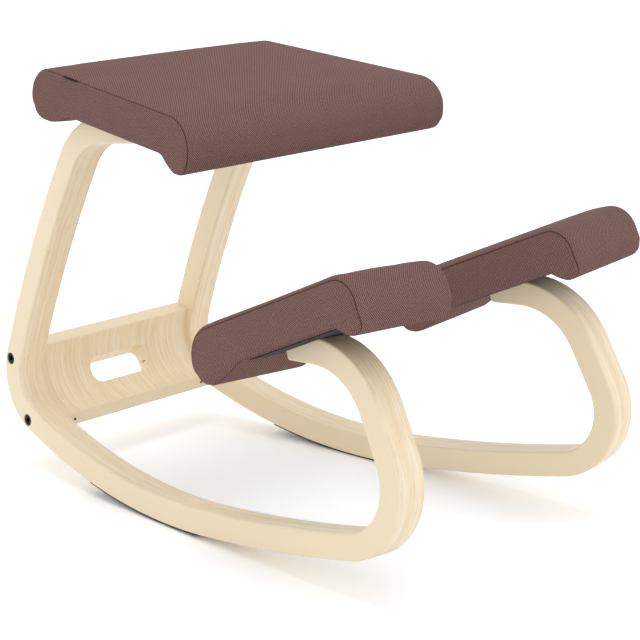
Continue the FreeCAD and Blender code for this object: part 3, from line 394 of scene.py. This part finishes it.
def sampled_section(corners):
    """Even steps over the top from the rear end to the front end, and even steps back below.

    Gives places, outward normals, the length run so far and the whole length. A normal is the
    chord from half a millimetre before to half a millimetre after, turned by a right angle."""
    line = section_line(corners)
    line = np.vstack([line, line[:1]])
    run = np.r_[0, np.cumsum(np.linalg.norm(np.diff(line, axis=0), axis=1))]
    total = run[-1]

    def place(at):
        return np.stack([np.interp(np.mod(at, total), run, line[:, axis]) for axis in (0, 1)], -1)

    fine = np.linspace(0, total, FINE_STEPS, endpoint=False)
    shape = place(fine)
    poles = []
    for end in (shape[:, 0].min(), shape[:, 0].max()):
        upright = np.abs(shape[:, 0] - end) < FLAT_END
        middle = shape[upright, 1].mean()
        poles.append(fine[upright][np.abs(shape[upright, 1] - middle).argmin()])
    over, below = (poles[1] - poles[0]) % total, (poles[0] - poles[1]) % total
    steps = np.arange(STEPS_ALONG) / STEPS_ALONG
    along = np.r_[poles[0] + over * steps, poles[0] + over + below * steps]
    chord = place(along + MM / 2) - place(along - MM / 2)
    chord /= np.linalg.norm(chord, axis=1, keepdims=True)
    normal = np.stack([-chord[:, 1], chord[:, 0]], 1)
    return place(along), normal, along - poles[0], total


square = np.array([(-1, -1, 0.2), (1, -1, 0.2), (1, 1, 0.2), (-1, 1, 0.2)])
print("length round a rounded square", round(sampled_section(square * MM)[3] / MM, 3), "mm")

# %% [markdown]
# ## Cover, seams and side panels
# The real cover is one strip that wraps the pad, and a panel closes each side. The rims are
# rounded, and the seam stays on the rounding all the way, at one height above and another below.
# A cushion could start from a rounded box, but then no edge would follow a seam. Here rows of
# points run round the pad: they lie close together beside a seam, where the cloth rolls into it,
# and wider apart in the middle of the cover. Each panel is filled with rows between its halves.

# %% Rows of a pad
BESIDE_SEAM = np.array([0.0, 1.2, 3.0, 6.0, 11.0]) * MM  # rows of the cover, from the seam inwards
RIM_ROWS = 4  # rows of the panel on the rim's rounding
PANEL_ROWS = 8  # steps of the panel from its top half to its bottom half
BOARD_GAP = 1.0 * MM  # the cover's flat underside above the wood
GROW_FADE = 5 * MM  # height of the lips over which the underside takes on its growth
FACES_DOWN = -0.3  # normals lower than this belong to the underside
TURNS_UNDER = (0.1, -0.95)  # normals' height between which the rim turns under


def strip_faces(index):
    """Faces between each loop of points and the next one, all the way round."""
    after = np.roll(index, -1, 1)
    return np.stack([index[1:], after[1:], after[:-1], index[:-1]], 2).reshape(-1, 4)


def panel_faces(loop, inside):
    """Faces that close a loop: rows from its top half to its bottom half, and a fan at each end.

    A fan's triangle names one corner twice. Inside holds the rows between the two halves."""
    block = np.vstack([loop[1:STEPS_ALONG], inside, loop[:STEPS_ALONG:-1]])
    quads = np.stack([block[:-1, :-1], block[:-1, 1:], block[1:, 1:], block[1:, :-1]], 2)
    rear = np.full(PANEL_ROWS, loop[0])
    front = np.full(PANEL_ROWS, loop[STEPS_ALONG])
    return np.vstack([quads.reshape(-1, 4),
                      np.stack([rear, block[:-1, 0], block[1:, 0], block[1:, 0]], 1),
                      np.stack([block[:-1, -1], front, front, block[1:, -1]], 1)])


def panel_rows(first):
    """Numbers of the points in a panel's inner rows, counted on from the first."""
    return first + np.arange((PANEL_ROWS - 1) * (STEPS_ALONG - 1)).reshape(PANEL_ROWS - 1, -1)


# %% Grid of a pad

class Pad:
    """The grid of one pad: loops of points round it, from one side's panel to the other's.

    Sides are half widths at the rear and the front end. Rims and seams are pairs, on top and
    below: the rim's radius, and the length from the start of its rounding to the seam. Grow is
    how far the cloth lies outside the corners' line. Middle_rows counts the even steps from the
    pad's middle to the close rows beside a seam."""

    def __init__(self, corners, sides, middle, rims, seams, grow, middle_rows):
        self.spots, self.normals, self.run, self.total = sampled_section(corners)
        fade = np.clip(np.abs(self.spots[:, 1]) / GROW_FADE, 0, 1)
        fade = np.where(self.normals[:, 1] < FACES_DOWN, fade, 1)[:, None]
        self.spots = self.spots + self.normals * (fade * (grow + BOARD_GAP) - BOARD_GAP)
        rear, front = self.spots[:, 0].min(), self.spots[:, 0].max()
        share = (self.spots[:, 0] - rear) / (front - rear)
        self.half = sides[0] + share * (sides[1] - sides[0]) + grow
        self.middle = middle
        under = (TURNS_UNDER[0] - self.normals[:, 1]) / (TURNS_UNDER[0] - TURNS_UNDER[1])
        under = np.clip(under, 0, 1)
        under = under * under * (3 - 2 * under)
        self.rim = rims[0] + under * (rims[1] - rims[0])
        self.seam = self.half - self.rim + seams[0] + under * (seams[1] - seams[0])
        self.edge = self.half - self.rim + self.rim * np.pi / 2
        even = np.arange(middle_rows)[:, None] / middle_rows * (self.seam - BESIDE_SEAM[-1])
        one_side = np.vstack([even, self.seam - BESIDE_SEAM[::-1, None]])
        self.rows = np.vstack([-one_side[:0:-1], one_side])
        first = self.seam + BESIDE_SEAM[1]
        rest = np.arange(1, RIM_ROWS + 1)[:, None] / RIM_ROWS
        self.rings = np.vstack([first, first + rest * (self.edge - first)])
        self.shape = self.surface(np.vstack([-self.rings[::-1], self.rows, self.rings]))
        self.seam_rows = [len(self.rings), len(self.rings) + len(self.rows) - 1]

    def surface(self, across):
        """Points at a length across the cloth: flat, then round the rim, which also moves in.

        Past the flat the angle is length / rim; the side view shrinks by rim (1 - cos angle)."""
        flat = self.half - self.rim
        angle = np.clip(np.abs(across) - flat, 0, None) / self.rim
        inwards = self.rim * (1 - np.cos(angle))
        z = np.sign(across) * (np.minimum(np.abs(across), flat) + self.rim * np.sin(angle))
        x = self.spots[:, 0] - self.normals[:, 0] * inwards
        y = self.spots[:, 1] - self.normals[:, 1] * inwards
        return np.stack([x, y, z + self.middle], 2)

    def panel_fill(self, ring):
        """Rows between the top half and the bottom half of the outermost loop, evenly spaced."""
        top, bottom = ring[1:STEPS_ALONG], ring[:STEPS_ALONG:-1]
        share = (np.arange(1, PANEL_ROWS) / PANEL_ROWS)[:, None, None]
        return top + (bottom - top) * share

    def mesh(self):
        """All points, the panels' inner rows last, and the faces of the closed pad."""
        fills = [self.panel_fill(self.shape[end]).reshape(-1, 3) for end in (0, -1)]
        points = np.vstack([self.shape.reshape(-1, 3)] + fills)
        index = np.arange(self.shape[..., 0].size).reshape(-1, AROUND)
        low, high = self.seam_rows
        low_panel = panel_faces(index[0], panel_rows(index.size))
        high_panel = panel_faces(index[-1], panel_rows(index.size + len(fills[0])))
        return points, np.vstack([
            strip_faces(index[:low + 1]), low_panel, strip_faces(index[low:high + 1]),
            strip_faces(index[high:]), high_panel[:, ::-1]])


print("rows beside a seam, mm", (BESIDE_SEAM / MM).round(1))

# %% [markdown]
# ## Stuffing the cloth
# The foam fills the cover and pushes the cloth out between the seams. The crown could be drawn with
# a formula, but then the seams' pull on the cloth would have to be guessed. Blender's Cloth finds it
# with air pressure: the closed grid swells for twenty steps, and stays put where it is glued to the
# board or sewn. Only moves outwards are kept, and a limit on them keeps the pad as tight as foam.

# %% Swell a pad
SWELL_STEPS = 20
TINY = 1e-12  # keeps a division by zero away


def face_lists(faces):
    """Faces as lists for a mesh, with a corner that is there twice left out."""
    return [list(dict.fromkeys(face)) for face in faces.tolist()]


def point_normals(points, faces):
    """Outward unit normals of points: the sum of the cross products of their faces' diagonals."""
    across = np.cross(points[faces[:, 2]] - points[faces[:, 0]],
                      points[faces[:, 3]] - points[faces[:, 1]])
    total = np.zeros_like(points)
    for corner in range(4):
        np.add.at(total, faces[:, corner], across)
    return total / (np.linalg.norm(total, axis=1, keepdims=True) + TINY)


def swollen(points, faces, held, limit):
    """The points after Cloth has blown the closed mesh up, each moved outwards, and only so far.

    A move of length m becomes limit * tanh(m / limit), which is m when small and never more."""
    mesh = bpy.data.meshes.new("swelling")
    mesh.from_pydata(points.tolist(), [], face_lists(faces))
    body = bpy.data.objects.new("swelling", mesh)
    bpy.context.scene.collection.objects.link(body)
    pins = body.vertex_groups.new(name="held")
    pins.add(np.flatnonzero(held).tolist(), 1.0, "REPLACE")
    cloth = body.modifiers.new("swell", "CLOTH")
    cloth.settings.quality = 6
    cloth.settings.mass = 0.2
    cloth.settings.tension_stiffness = 12
    cloth.settings.compression_stiffness = 12
    cloth.settings.bending_stiffness = 1.0
    cloth.settings.use_pressure = True
    cloth.settings.uniform_pressure_force = 6
    cloth.settings.effector_weights.gravity = 0
    cloth.settings.vertex_group_mass = "held"
    cloth.point_cache.frame_end = SWELL_STEPS
    for step in range(1, SWELL_STEPS + 1):
        bpy.context.scene.frame_set(step)
    live = body.evaluated_get(bpy.context.evaluated_depsgraph_get())
    moved = np.empty(len(points) * 3, np.float32)
    live.data.vertices.foreach_get("co", moved)
    bpy.data.objects.remove(body)
    bpy.data.meshes.remove(mesh)
    bpy.context.scene.frame_set(1)
    outwards = point_normals(points, faces)
    rise = ((moved.reshape(-1, 3) - points) * outwards).sum(1)
    kept = limit * np.tanh(np.clip(rise, 0, None) / limit)
    print("swell, mm: lowest", round(rise.min() / MM, 2), "middle", round(np.median(rise) / MM, 2),
          "highest", round(rise.max() / MM, 2), "kept", round(kept.max() / MM, 2))
    return points + outwards * kept[:, None]


print("swelling steps", SWELL_STEPS)

# %% [markdown]
# ## Seams and linings press into the pad
# At a seam both cloths are pulled in, so that the seam is a narrow groove. Below, a thin lining
# lies over the middle of the pad, and the cover gives way to it. Both could be left to the Cloth
# step, but two short formulas on the finished grid are exact and quick.

# %% Pull in the seams and lift the underside
SEAM_SINK = 1.3 * MM
LINING_LIFT = 1.6 * MM
LINING_FADE = 4 * MM
GLUED_NORMAL = -0.999  # the glued underside looks straight down
GLUED_HEIGHT = 3 * MM  # and lies this near the wood

# a lining's outline: its two ends along X, its half widths there, and its middle in Z
Patch = namedtuple("Patch", "rear front half_rear half_front middle")


def depth_inside(patch, x, z):
    """How deep (x, z) lies in a patch: the least distance to its ends and its sides.

    The half width runs straight from the rear end's to the front end's."""
    share = (x - patch.rear) / (patch.front - patch.rear)
    half = patch.half_rear + share * (patch.half_front - patch.half_rear)
    return np.minimum(np.minimum(x - patch.rear, patch.front - x), half - np.abs(z - patch.middle))


def grid_normals(grid):
    """Outward unit normals on the loops: the cross product of the steps across and round."""
    round_step = np.roll(grid, -1, 1) - np.roll(grid, 1, 1)
    normal = np.cross(np.gradient(grid, axis=0), round_step)
    return normal / np.linalg.norm(normal, axis=2, keepdims=True)


def stuffed(pad, limit, patch):
    """The swollen grid of a pad, its normals, and the inner rows of its two panels.

    A seam moves in by SEAM_SINK. In the patch the underside rises by LINING_LIFT, less near its
    edge: times depth / LINING_FADE."""
    points, faces = pad.mesh()
    number = np.arange(pad.shape[..., 0].size).reshape(-1, AROUND)
    held = np.zeros(len(points), bool)
    held[number[pad.seam_rows]] = True
    glued = (pad.normals[:, 1] < GLUED_NORMAL) & (np.abs(pad.spots[:, 1]) < GLUED_HEIGHT)
    held[number[:, glued]] = True
    points = swollen(points, faces, held, limit)
    grid = points[:number.size].reshape(-1, AROUND, 3).copy()
    normal = grid_normals(grid)
    grid[pad.seam_rows] -= normal[pad.seam_rows] * SEAM_SINK
    depth = depth_inside(patch, grid[..., 0], grid[..., 2])
    lifted = np.where(np.abs(grid[..., 1]) < LINING_FADE, np.clip(depth / LINING_FADE, 0, 1), 0)
    grid[..., 1] += lifted * LINING_LIFT
    return grid, normal, np.split(points[number.size:], 2)


print("depth at a square patch's middle", depth_inside(Patch(-1, 1, 1, 1, 0), 0.0, 0.0))

# %% [markdown]
# ## From grid to pieces
# The grid is cut at its seams into the cover and the two panels, which are separate cloths on the
# real pad. Both run on a few millimetres inside the pad, as a sewn edge does, so that no light
# falls through the seam. Subdivision rounds the roll on both sides and Solidify gives the cloth its
# thickness. The UV map is the cloth laid flat, which an automatic unwrap would only come near:
# round the pad and across it for the cover, and the side view itself for a panel.

# %% One piece of cloth
SEAM_ALLOWANCE = 3.0 * MM
CLOTH_THICKNESS = 1.2 * MM


def new_piece(name, points, faces, cloth_map, material, mirrored=False):
    """A mesh piece with a UV map in metres of cloth. Mirrored, its faces turn round to match."""
    mesh = bpy.data.meshes.new(name)
    if mirrored:
        faces, cloth_map = faces[:, ::-1], cloth_map[:, ::-1]
    mesh.from_pydata(points.tolist(), [], face_lists(faces))
    single = np.insert(faces[:, 1:] != faces[:, :-1], 0, True, axis=1)
    layer = mesh.uv_layers.new(name="cloth")
    layer.data.foreach_set("uv", cloth_map[single].astype(np.float32).ravel())
    mesh.materials.append(material)
    mesh.polygons.foreach_set("use_smooth", np.ones(len(mesh.polygons), bool))
    piece = bpy.data.objects.new(name, mesh)
    bpy.context.scene.collection.objects.link(piece)
    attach(piece, "root")
    return piece


def thicken(piece, thickness, offset=-1):
    """Give the cloth a thickness, inwards at offset -1 and outwards at offset 1."""
    wall = piece.modifiers.new("cloth", "SOLIDIFY")
    wall.thickness, wall.offset = thickness, offset


def upholster(name, points, faces, cloth_map, place, mirrored, nodes):
    """A piece of the pads' upholstery: rounded off, thickened, and standing for CAD nodes."""
    piece = new_piece(name, place.to_chair(points, mirrored), faces, cloth_map,
                      upholstery, mirrored)
    smooth = piece.modifiers.new("smooth", "SUBSURF")
    smooth.levels = smooth.render_levels = 1
    thicken(piece, CLOTH_THICKNESS)
    for node in nodes:
        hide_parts(node)
    return piece


print("cloth thickness, mm", round(CLOTH_THICKNESS / MM, 1))

# %% Cut out the cover and the panels

def cover_cloth(pad, grid, tucked):
    """The cover: the loops between the seams, and a tucked loop past each seam.

    Its flat cloth is (length round the pad, length across). The round is cut open below."""
    low, high = pad.seam_rows
    loops = np.concatenate([tucked[:1], grid[low:high + 1], tucked[1:]])
    index = np.arange(loops[..., 0].size).reshape(-1, AROUND)
    across = np.vstack([pad.rows[:1] - SEAM_ALLOWANCE, pad.rows, pad.rows[-1:] + SEAM_ALLOWANCE])
    after = np.roll(across, -1, 1)
    cut = AROUND * 3 // 4
    start = np.where(np.arange(AROUND) > cut, pad.run - pad.total, pad.run)
    end = start + np.diff(np.r_[pad.run, pad.total])
    corners = ((start, across[1:]), (end, after[1:]), (end, after[:-1]), (start, across[:-1]))
    cloth_map = np.stack([np.stack(np.broadcast_arrays(u, v), -1) for u, v in corners], 2)
    return loops.reshape(-1, 3), strip_faces(index), cloth_map.reshape(-1, 4, 2)


def panel_cloth(pad, loops, fill):
    """A side panel: loops from the rim's end to its tucked edge, and then its inner rows.

    Its flat cloth is the side view. On the rim, the length past the rim's end is added to that
    along the side view's normal."""
    index = np.arange(loops[..., 0].size).reshape(-1, AROUND)
    faces = np.vstack([strip_faces(index), panel_faces(index[0], panel_rows(index.size))])
    past = pad.edge - np.vstack([pad.rings[::-1], pad.seam, pad.seam - SEAM_ALLOWANCE])
    flat = loops[:1, :, :2] + pad.normals * past[..., None]
    cloth_map = np.vstack([flat.reshape(-1, 2), fill[:, :2]])[faces]
    return np.vstack([loops.reshape(-1, 3), fill]), faces, cloth_map


def make_pad(prefix, pad, stuffing, sides, place, mirrored=False):
    """The cover and the two panels of a pad. Sides are (piece, node) names, lower Z first."""
    grid, normal, fills = stuffing
    low, high = pad.seam_rows
    tucked = grid[pad.seam_rows] - normal[pad.seam_rows] * SEAM_ALLOWANCE
    made = [upholster(prefix + "_wrap", *cover_cloth(pad, grid, tucked), place, mirrored,
                      (prefix + "_cover", prefix + "_foam"))]
    low_loops = np.concatenate([grid[:low + 1], tucked[:1]])
    high_loops = np.concatenate([grid[:high - 1:-1], tucked[1:]])
    for (side, node), loops, fill, turn in zip(sides, (low_loops, high_loops), fills, (1, -1)):
        points, faces, cloth_map = panel_cloth(pad, loops, fill)
        made.append(upholster(prefix + "_" + side, points, faces[:, ::turn],
                              cloth_map[:, ::turn], place, mirrored, (prefix + "_" + node,)))
    return made


# %% [markdown]
# ## The seat
# The seat narrows to the rear, hangs lower in front and behind, and is sewn almost on top of its
# rims. Its side view could be traced from a picture, but the corners below follow the CAD solid's
# side view, so that both models agree. The pad is grown a little from there, as foam fills it out.

# %% Seat pad
SEAT_SECTION = np.array([
    (-92, 0, 14), (91, 0, 14), (115, -14, 7), (140, -14, 20),
    (140, 49, 36), (-173, 49, 33), (-173, -12, 26), (-135, -12, 14)]) * MM
SEAT_LIMIT = 4.0 * MM
seat_pad = Pad(SEAT_SECTION, sides=(186 * MM, 221 * MM), middle=0.0, rims=(5 * MM, 6 * MM),
               seams=(3.2 * MM, 2.5 * MM), grow=1.5 * MM, middle_rows=20)
seat_patch = Patch(-86 * MM, 85 * MM, 180 * MM, 198 * MM, 0.0)
seat_stuffing = stuffed(seat_pad, SEAT_LIMIT, seat_patch)
seat_pieces = make_pad("seat", seat_pad, seat_stuffing,
                       (("left_side", "left_panel"), ("right_side", "right_panel")), seat_frame)
print("seat pieces", [(piece.name, len(piece.data.polygons)) for piece in seat_pieces])

# %% [markdown]
# ## The knee pads
# A knee pad is as wide at both ends, and its upper seams lie lower on the sides than the seat's.
# The left pad is the right one's mirror image. Both could be stuffed, but the grid is stuffed once
# and used twice: that saves time and keeps the pair alike. A pad's middle lies 23 mm inwards of the
# frame's tip that holds it.

# %% Knee pads
KNEE_SECTION = np.array([
    (-30, 0, 14), (133, 0, 14), (152, -12, 7), (178, -12, 18),
    (178, 52, 31), (-110, 52, 39), (-110, -13, 26), (-75, -13, 14)]) * MM
KNEE_MIDDLE = -23 * MM
KNEE_HALF = 69 * MM
KNEE_LIMIT = 3.0 * MM
knee_pad = Pad(KNEE_SECTION, sides=(KNEE_HALF, KNEE_HALF), middle=KNEE_MIDDLE,
               rims=(6 * MM, 7 * MM), seams=(7.4 * MM, 2.5 * MM), grow=1.0 * MM, middle_rows=10)
knee_patch = Patch(-24 * MM, 127 * MM, 57 * MM, 57 * MM, KNEE_MIDDLE)
knee_stuffing = stuffed(knee_pad, KNEE_LIMIT, knee_patch)
CHAIR_SIDES = (("right", False), ("left", True))
for side, mirrored in CHAIR_SIDES:
    knee_pieces = make_pad(
        side + "_knee", knee_pad, knee_stuffing,
        (("inner_side", "inner_panel"), ("outer_side", "outer_panel")), knee_frame, mirrored)
    print("knee pieces", [(piece.name, len(piece.data.polygons)) for piece in knee_pieces])

# %% [markdown]
# ## Linings
# A thin black non-woven cloth is stretched over the board from below and stapled round its edge,
# where it puckers a little. A cloth simulation could find the puckers, but a tight sheet hardly
# moves, so the sheet is a flat grid and short waves along its border lift it.

# %% Linings
LINING_GAP = 0.9 * MM
LINING_THICKNESS = 0.8 * MM
PUCKER_HEIGHT = 0.5 * MM
PUCKER_SPACING = 9 * MM
PUCKER_FADE = 4 * MM


def make_lining(name, prefix, patch, steps, place, mirrored=False):
    """A flat sheet on the underside: pucker = height * sin^2(along the edge) * fade inwards.

    The sheet's flat size is (mean width, length) of its patch."""
    u, v = np.meshgrid(np.linspace(0, 1, steps[0]), np.linspace(-1, 1, steps[1]), indexing="ij")
    x = patch.rear + u * (patch.front - patch.rear)
    z = patch.middle + v * (patch.half_rear + u * (patch.half_front - patch.half_rear))
    border = depth_inside(patch, x, z)
    waves = np.sin((x + z) * np.pi / PUCKER_SPACING) ** 2 * np.exp(-border / PUCKER_FADE)
    points = np.stack([x, LINING_GAP + PUCKER_HEIGHT * waves, z], 2).reshape(-1, 3)
    index = np.arange(u.size).reshape(u.shape)
    faces = np.stack([index[:-1, :-1], index[1:, :-1], index[1:, 1:], index[:-1, 1:]], 2)
    faces = faces.reshape(-1, 4)
    piece = new_piece(name, place.to_chair(points, mirrored), faces, points[:, ::2][faces],
                      lining, mirrored)
    thicken(piece, LINING_THICKNESS, offset=1)
    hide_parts(prefix + "_underside_cloth")
    return piece


seat_sheet = Patch(-86 * MM, 85 * MM, 184 * MM, 203 * MM, 0.0)
linings = [make_lining("seat_lining", "seat", seat_sheet, (61, 91), seat_frame)]
for side, mirrored in CHAIR_SIDES:
    linings.append(make_lining(side + "_knee_lining", side + "_knee", knee_patch, (51, 41),
                               knee_frame, mirrored))
print("linings", [piece.name for piece in linings])

# %% [markdown]
# ## Blank tab
# A short folded tape is sewn into the seat's seam. A flat strip would do from afar, but the fold is
# what the eye finds at the edge. So it is a U-shaped profile carried along the seam: out from the
# seam, round the fold, and back.

# %% Tab in the seam
TAB_MIDDLE = -90 * MM
TAB_LENGTH = 26 * MM
TAB_REACH = 5.0 * MM
TAB_HALF = 0.4 * MM  # half of the folded tape's thickness
TAB_ROOT = -2 * MM  # where the tape starts, inside the seam
TAB_START = 0.5 * MM
TAPE_THICKNESS = 0.3 * MM
TAB_TURN = np.array([0, -0.2, 0.4])  # turns the tape from the seam's normal towards the side


def unit(vectors):
    """Each vector divided by its length."""
    return vectors / np.linalg.norm(vectors, axis=1, keepdims=True)


seat_grid, seat_normal, _ = seat_stuffing
top_half = slice(1, STEPS_ALONG)
seam_line = seat_grid[seat_pad.seam_rows[1]][top_half]
seam_out = seat_normal[seat_pad.seam_rows[1]][top_half]
tab_x = TAB_MIDDLE + TAB_LENGTH * np.linspace(-0.5, 0.5, 14)
tab_line = np.stack([np.interp(tab_x, seam_line[:, 0], seam_line[:, k]) for k in range(3)], 1)
tab_out = np.stack([np.interp(tab_x, seam_line[:, 0], seam_out[:, k]) for k in range(3)], 1)
tab_out = unit(tab_out + TAB_TURN)
tab_side = unit(np.cross(tab_out, np.array([1.0, 0, 0])))
fold = np.linspace(0, np.pi, 9)
profile_out = np.r_[TAB_ROOT, TAB_START, TAB_REACH + TAB_HALF * np.sin(fold), TAB_START, TAB_ROOT]
profile_side = np.r_[TAB_HALF, TAB_HALF, TAB_HALF * np.cos(fold), -TAB_HALF, -TAB_HALF]
tab_points = (tab_line[:, None] + tab_out[:, None] * profile_out[None, :, None]
              + tab_side[:, None] * profile_side[None, :, None])
tab_index = np.arange(tab_points[..., 0].size).reshape(tab_points.shape[:2])
tab_faces = np.stack([tab_index[:-1, :-1], tab_index[:-1, 1:],
                      tab_index[1:, 1:], tab_index[1:, :-1]], 2).reshape(-1, 4)
tab_run = np.r_[0, np.cumsum(np.hypot(np.diff(profile_out), np.diff(profile_side)))]
tab_flat = np.stack(np.broadcast_arrays(tab_x[:, None], tab_run[None]), 2).reshape(-1, 2)
tab = new_piece("seat_tab_tape", seat_frame.to_chair(tab_points.reshape(-1, 3), False),
                tab_faces, tab_flat[tab_faces], tab_weave)
thicken(tab, TAPE_THICKNESS)
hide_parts("seat_tab")
print("tab faces", len(tab_faces))

# %% [markdown]
# ## Floor, light and camera
# A white floor, an even sky that is brightest at the horizon and one soft sun from straight above
# light the chair the way a catalogue photo does: hardly any shading on the object and a soft grey
# shadow under it. Big lamps beside the chair would do as well, but they would show in the lacquer.
# The floor is pale to the light that bounces, and to the eye it burns out to white wherever
# nothing shades it. From below it is clear, so that the underside can be looked at.

# %% Floor
FLOOR = 30.0
PAPER_TO_LIGHT = colour("#F0F0F0")
PAPER_TO_EYE = (1.24, 1.27, 1.31, 1.0)  # beyond white, and cool, against the wood's warm bounce


def seen_directly(tree):
    """1 for rays from the camera, a mirroring surface or a clear one, and 0 for bounced light."""
    path = add(tree, "LightPath").outputs
    seen = add(tree, "Math", {0: path["Is Camera Ray"], 1: path["Is Glossy Ray"]},
               operation="MAXIMUM")
    return add(tree, "Math", {0: seen.outputs[0], 1: path["Is Transmission Ray"]},
               operation="MAXIMUM").outputs[0]


floor_mesh = bpy.data.meshes.new("floor")
floor_mesh.from_pydata([(-FLOOR, -FLOOR, 0), (FLOOR, -FLOOR, 0), (FLOOR, FLOOR, 0),
                        (-FLOOR, FLOOR, 0)], [], [(0, 1, 2, 3)])
floor = bpy.data.objects.new("floor", floor_mesh)
bpy.context.scene.collection.objects.link(floor)
# a studio's paper: quite matt, so that only the shadow shows on it
paper, tree, shader = new_finish("matt_paper", Roughness=1.0, Specular_IOR_Level=0.0)
tone = add(tree, "Mix", {"Factor": seen_directly(tree), 6: PAPER_TO_LIGHT, 7: PAPER_TO_EYE},
           data_type="RGBA")
tree.links.new(tone.outputs[2], shader.inputs["Base Color"])
below = add(tree, "NewGeometry").outputs["Backfacing"]
clear = add(tree, "BsdfTransparent")
surface = add(tree, "MixShader", {0: below, 1: shader.outputs[0], 2: clear.outputs[0]})
tree.links.new(surface.outputs[0], tree.nodes["Material Output"].inputs["Surface"])
floor_mesh.materials.append(paper)
print("floor half side", FLOOR)

# %% Sky and sun
HORIZON, ZENITH = 1.35, 0.55
SUN_ENERGY = 0.75
SUN_ANGLE = math.radians(35)
world = bpy.data.worlds.new("even_sky")
bpy.context.scene.world = world
world.use_nodes = True
tree = world.node_tree
direction = add(tree, "SeparateXYZ", {"Vector": add(tree, "TexCoord").outputs["Generated"]})
glow = add(tree, "MapRange", {
    "Value": direction.outputs["Z"], "To Min": HORIZON, "To Max": ZENITH})
strength = add(tree, "Mix", {"Factor": seen_directly(tree), 2: glow.outputs[0], 3: 1.0})
sky = tree.nodes["Background"]
sky.inputs["Color"].default_value = colour("#FFFFFF")
tree.links.new(strength.outputs[0], sky.inputs["Strength"])

sun_data = bpy.data.lights.new("soft_sun", "SUN")
sun_data.energy, sun_data.angle = SUN_ENERGY, SUN_ANGLE
sun = bpy.data.objects.new("soft_sun", sun_data)
bpy.context.scene.collection.objects.link(sun)
print("sky", HORIZON, ZENITH, "sun", SUN_ENERGY)

# %% [markdown]
# ## Camera
# The photo was taken from above the seat's height, in front and to the right, with a long lens.
# The place and the lens could be tried out by eye, but the two side frames match each other, and
# their outlines in the photo are enough to work both out.

# %% Camera
CAMERA_PLACE = Vector((-1709.61, -1650.79, 866.11)) * MM
CAMERA_AZIMUTH = math.radians(-46.78)
CAMERA_ELEVATION = math.radians(15.10)
SENSOR = 36.0  # mm wide
LENS = 112.5  # mm
camera_data = bpy.data.cameras.new("camera")
camera_data.sensor_width, camera_data.lens = SENSOR, LENS
camera_data.clip_start, camera_data.clip_end = 0.05, 100
camera = bpy.data.objects.new("camera", camera_data)
back = Vector((math.sin(CAMERA_AZIMUTH) * math.cos(CAMERA_ELEVATION),
               -math.cos(CAMERA_AZIMUTH) * math.cos(CAMERA_ELEVATION),
               math.sin(CAMERA_ELEVATION)))
camera.location = CAMERA_PLACE
camera.rotation_mode = "QUATERNION"
camera.rotation_quaternion = (-back).to_track_quat("-Z", "Y")
bpy.context.scene.collection.objects.link(camera)
bpy.context.scene.camera = camera
bpy.context.scene.view_settings.view_transform = "Standard"
print("camera", [round(value, 3) for value in camera.location])
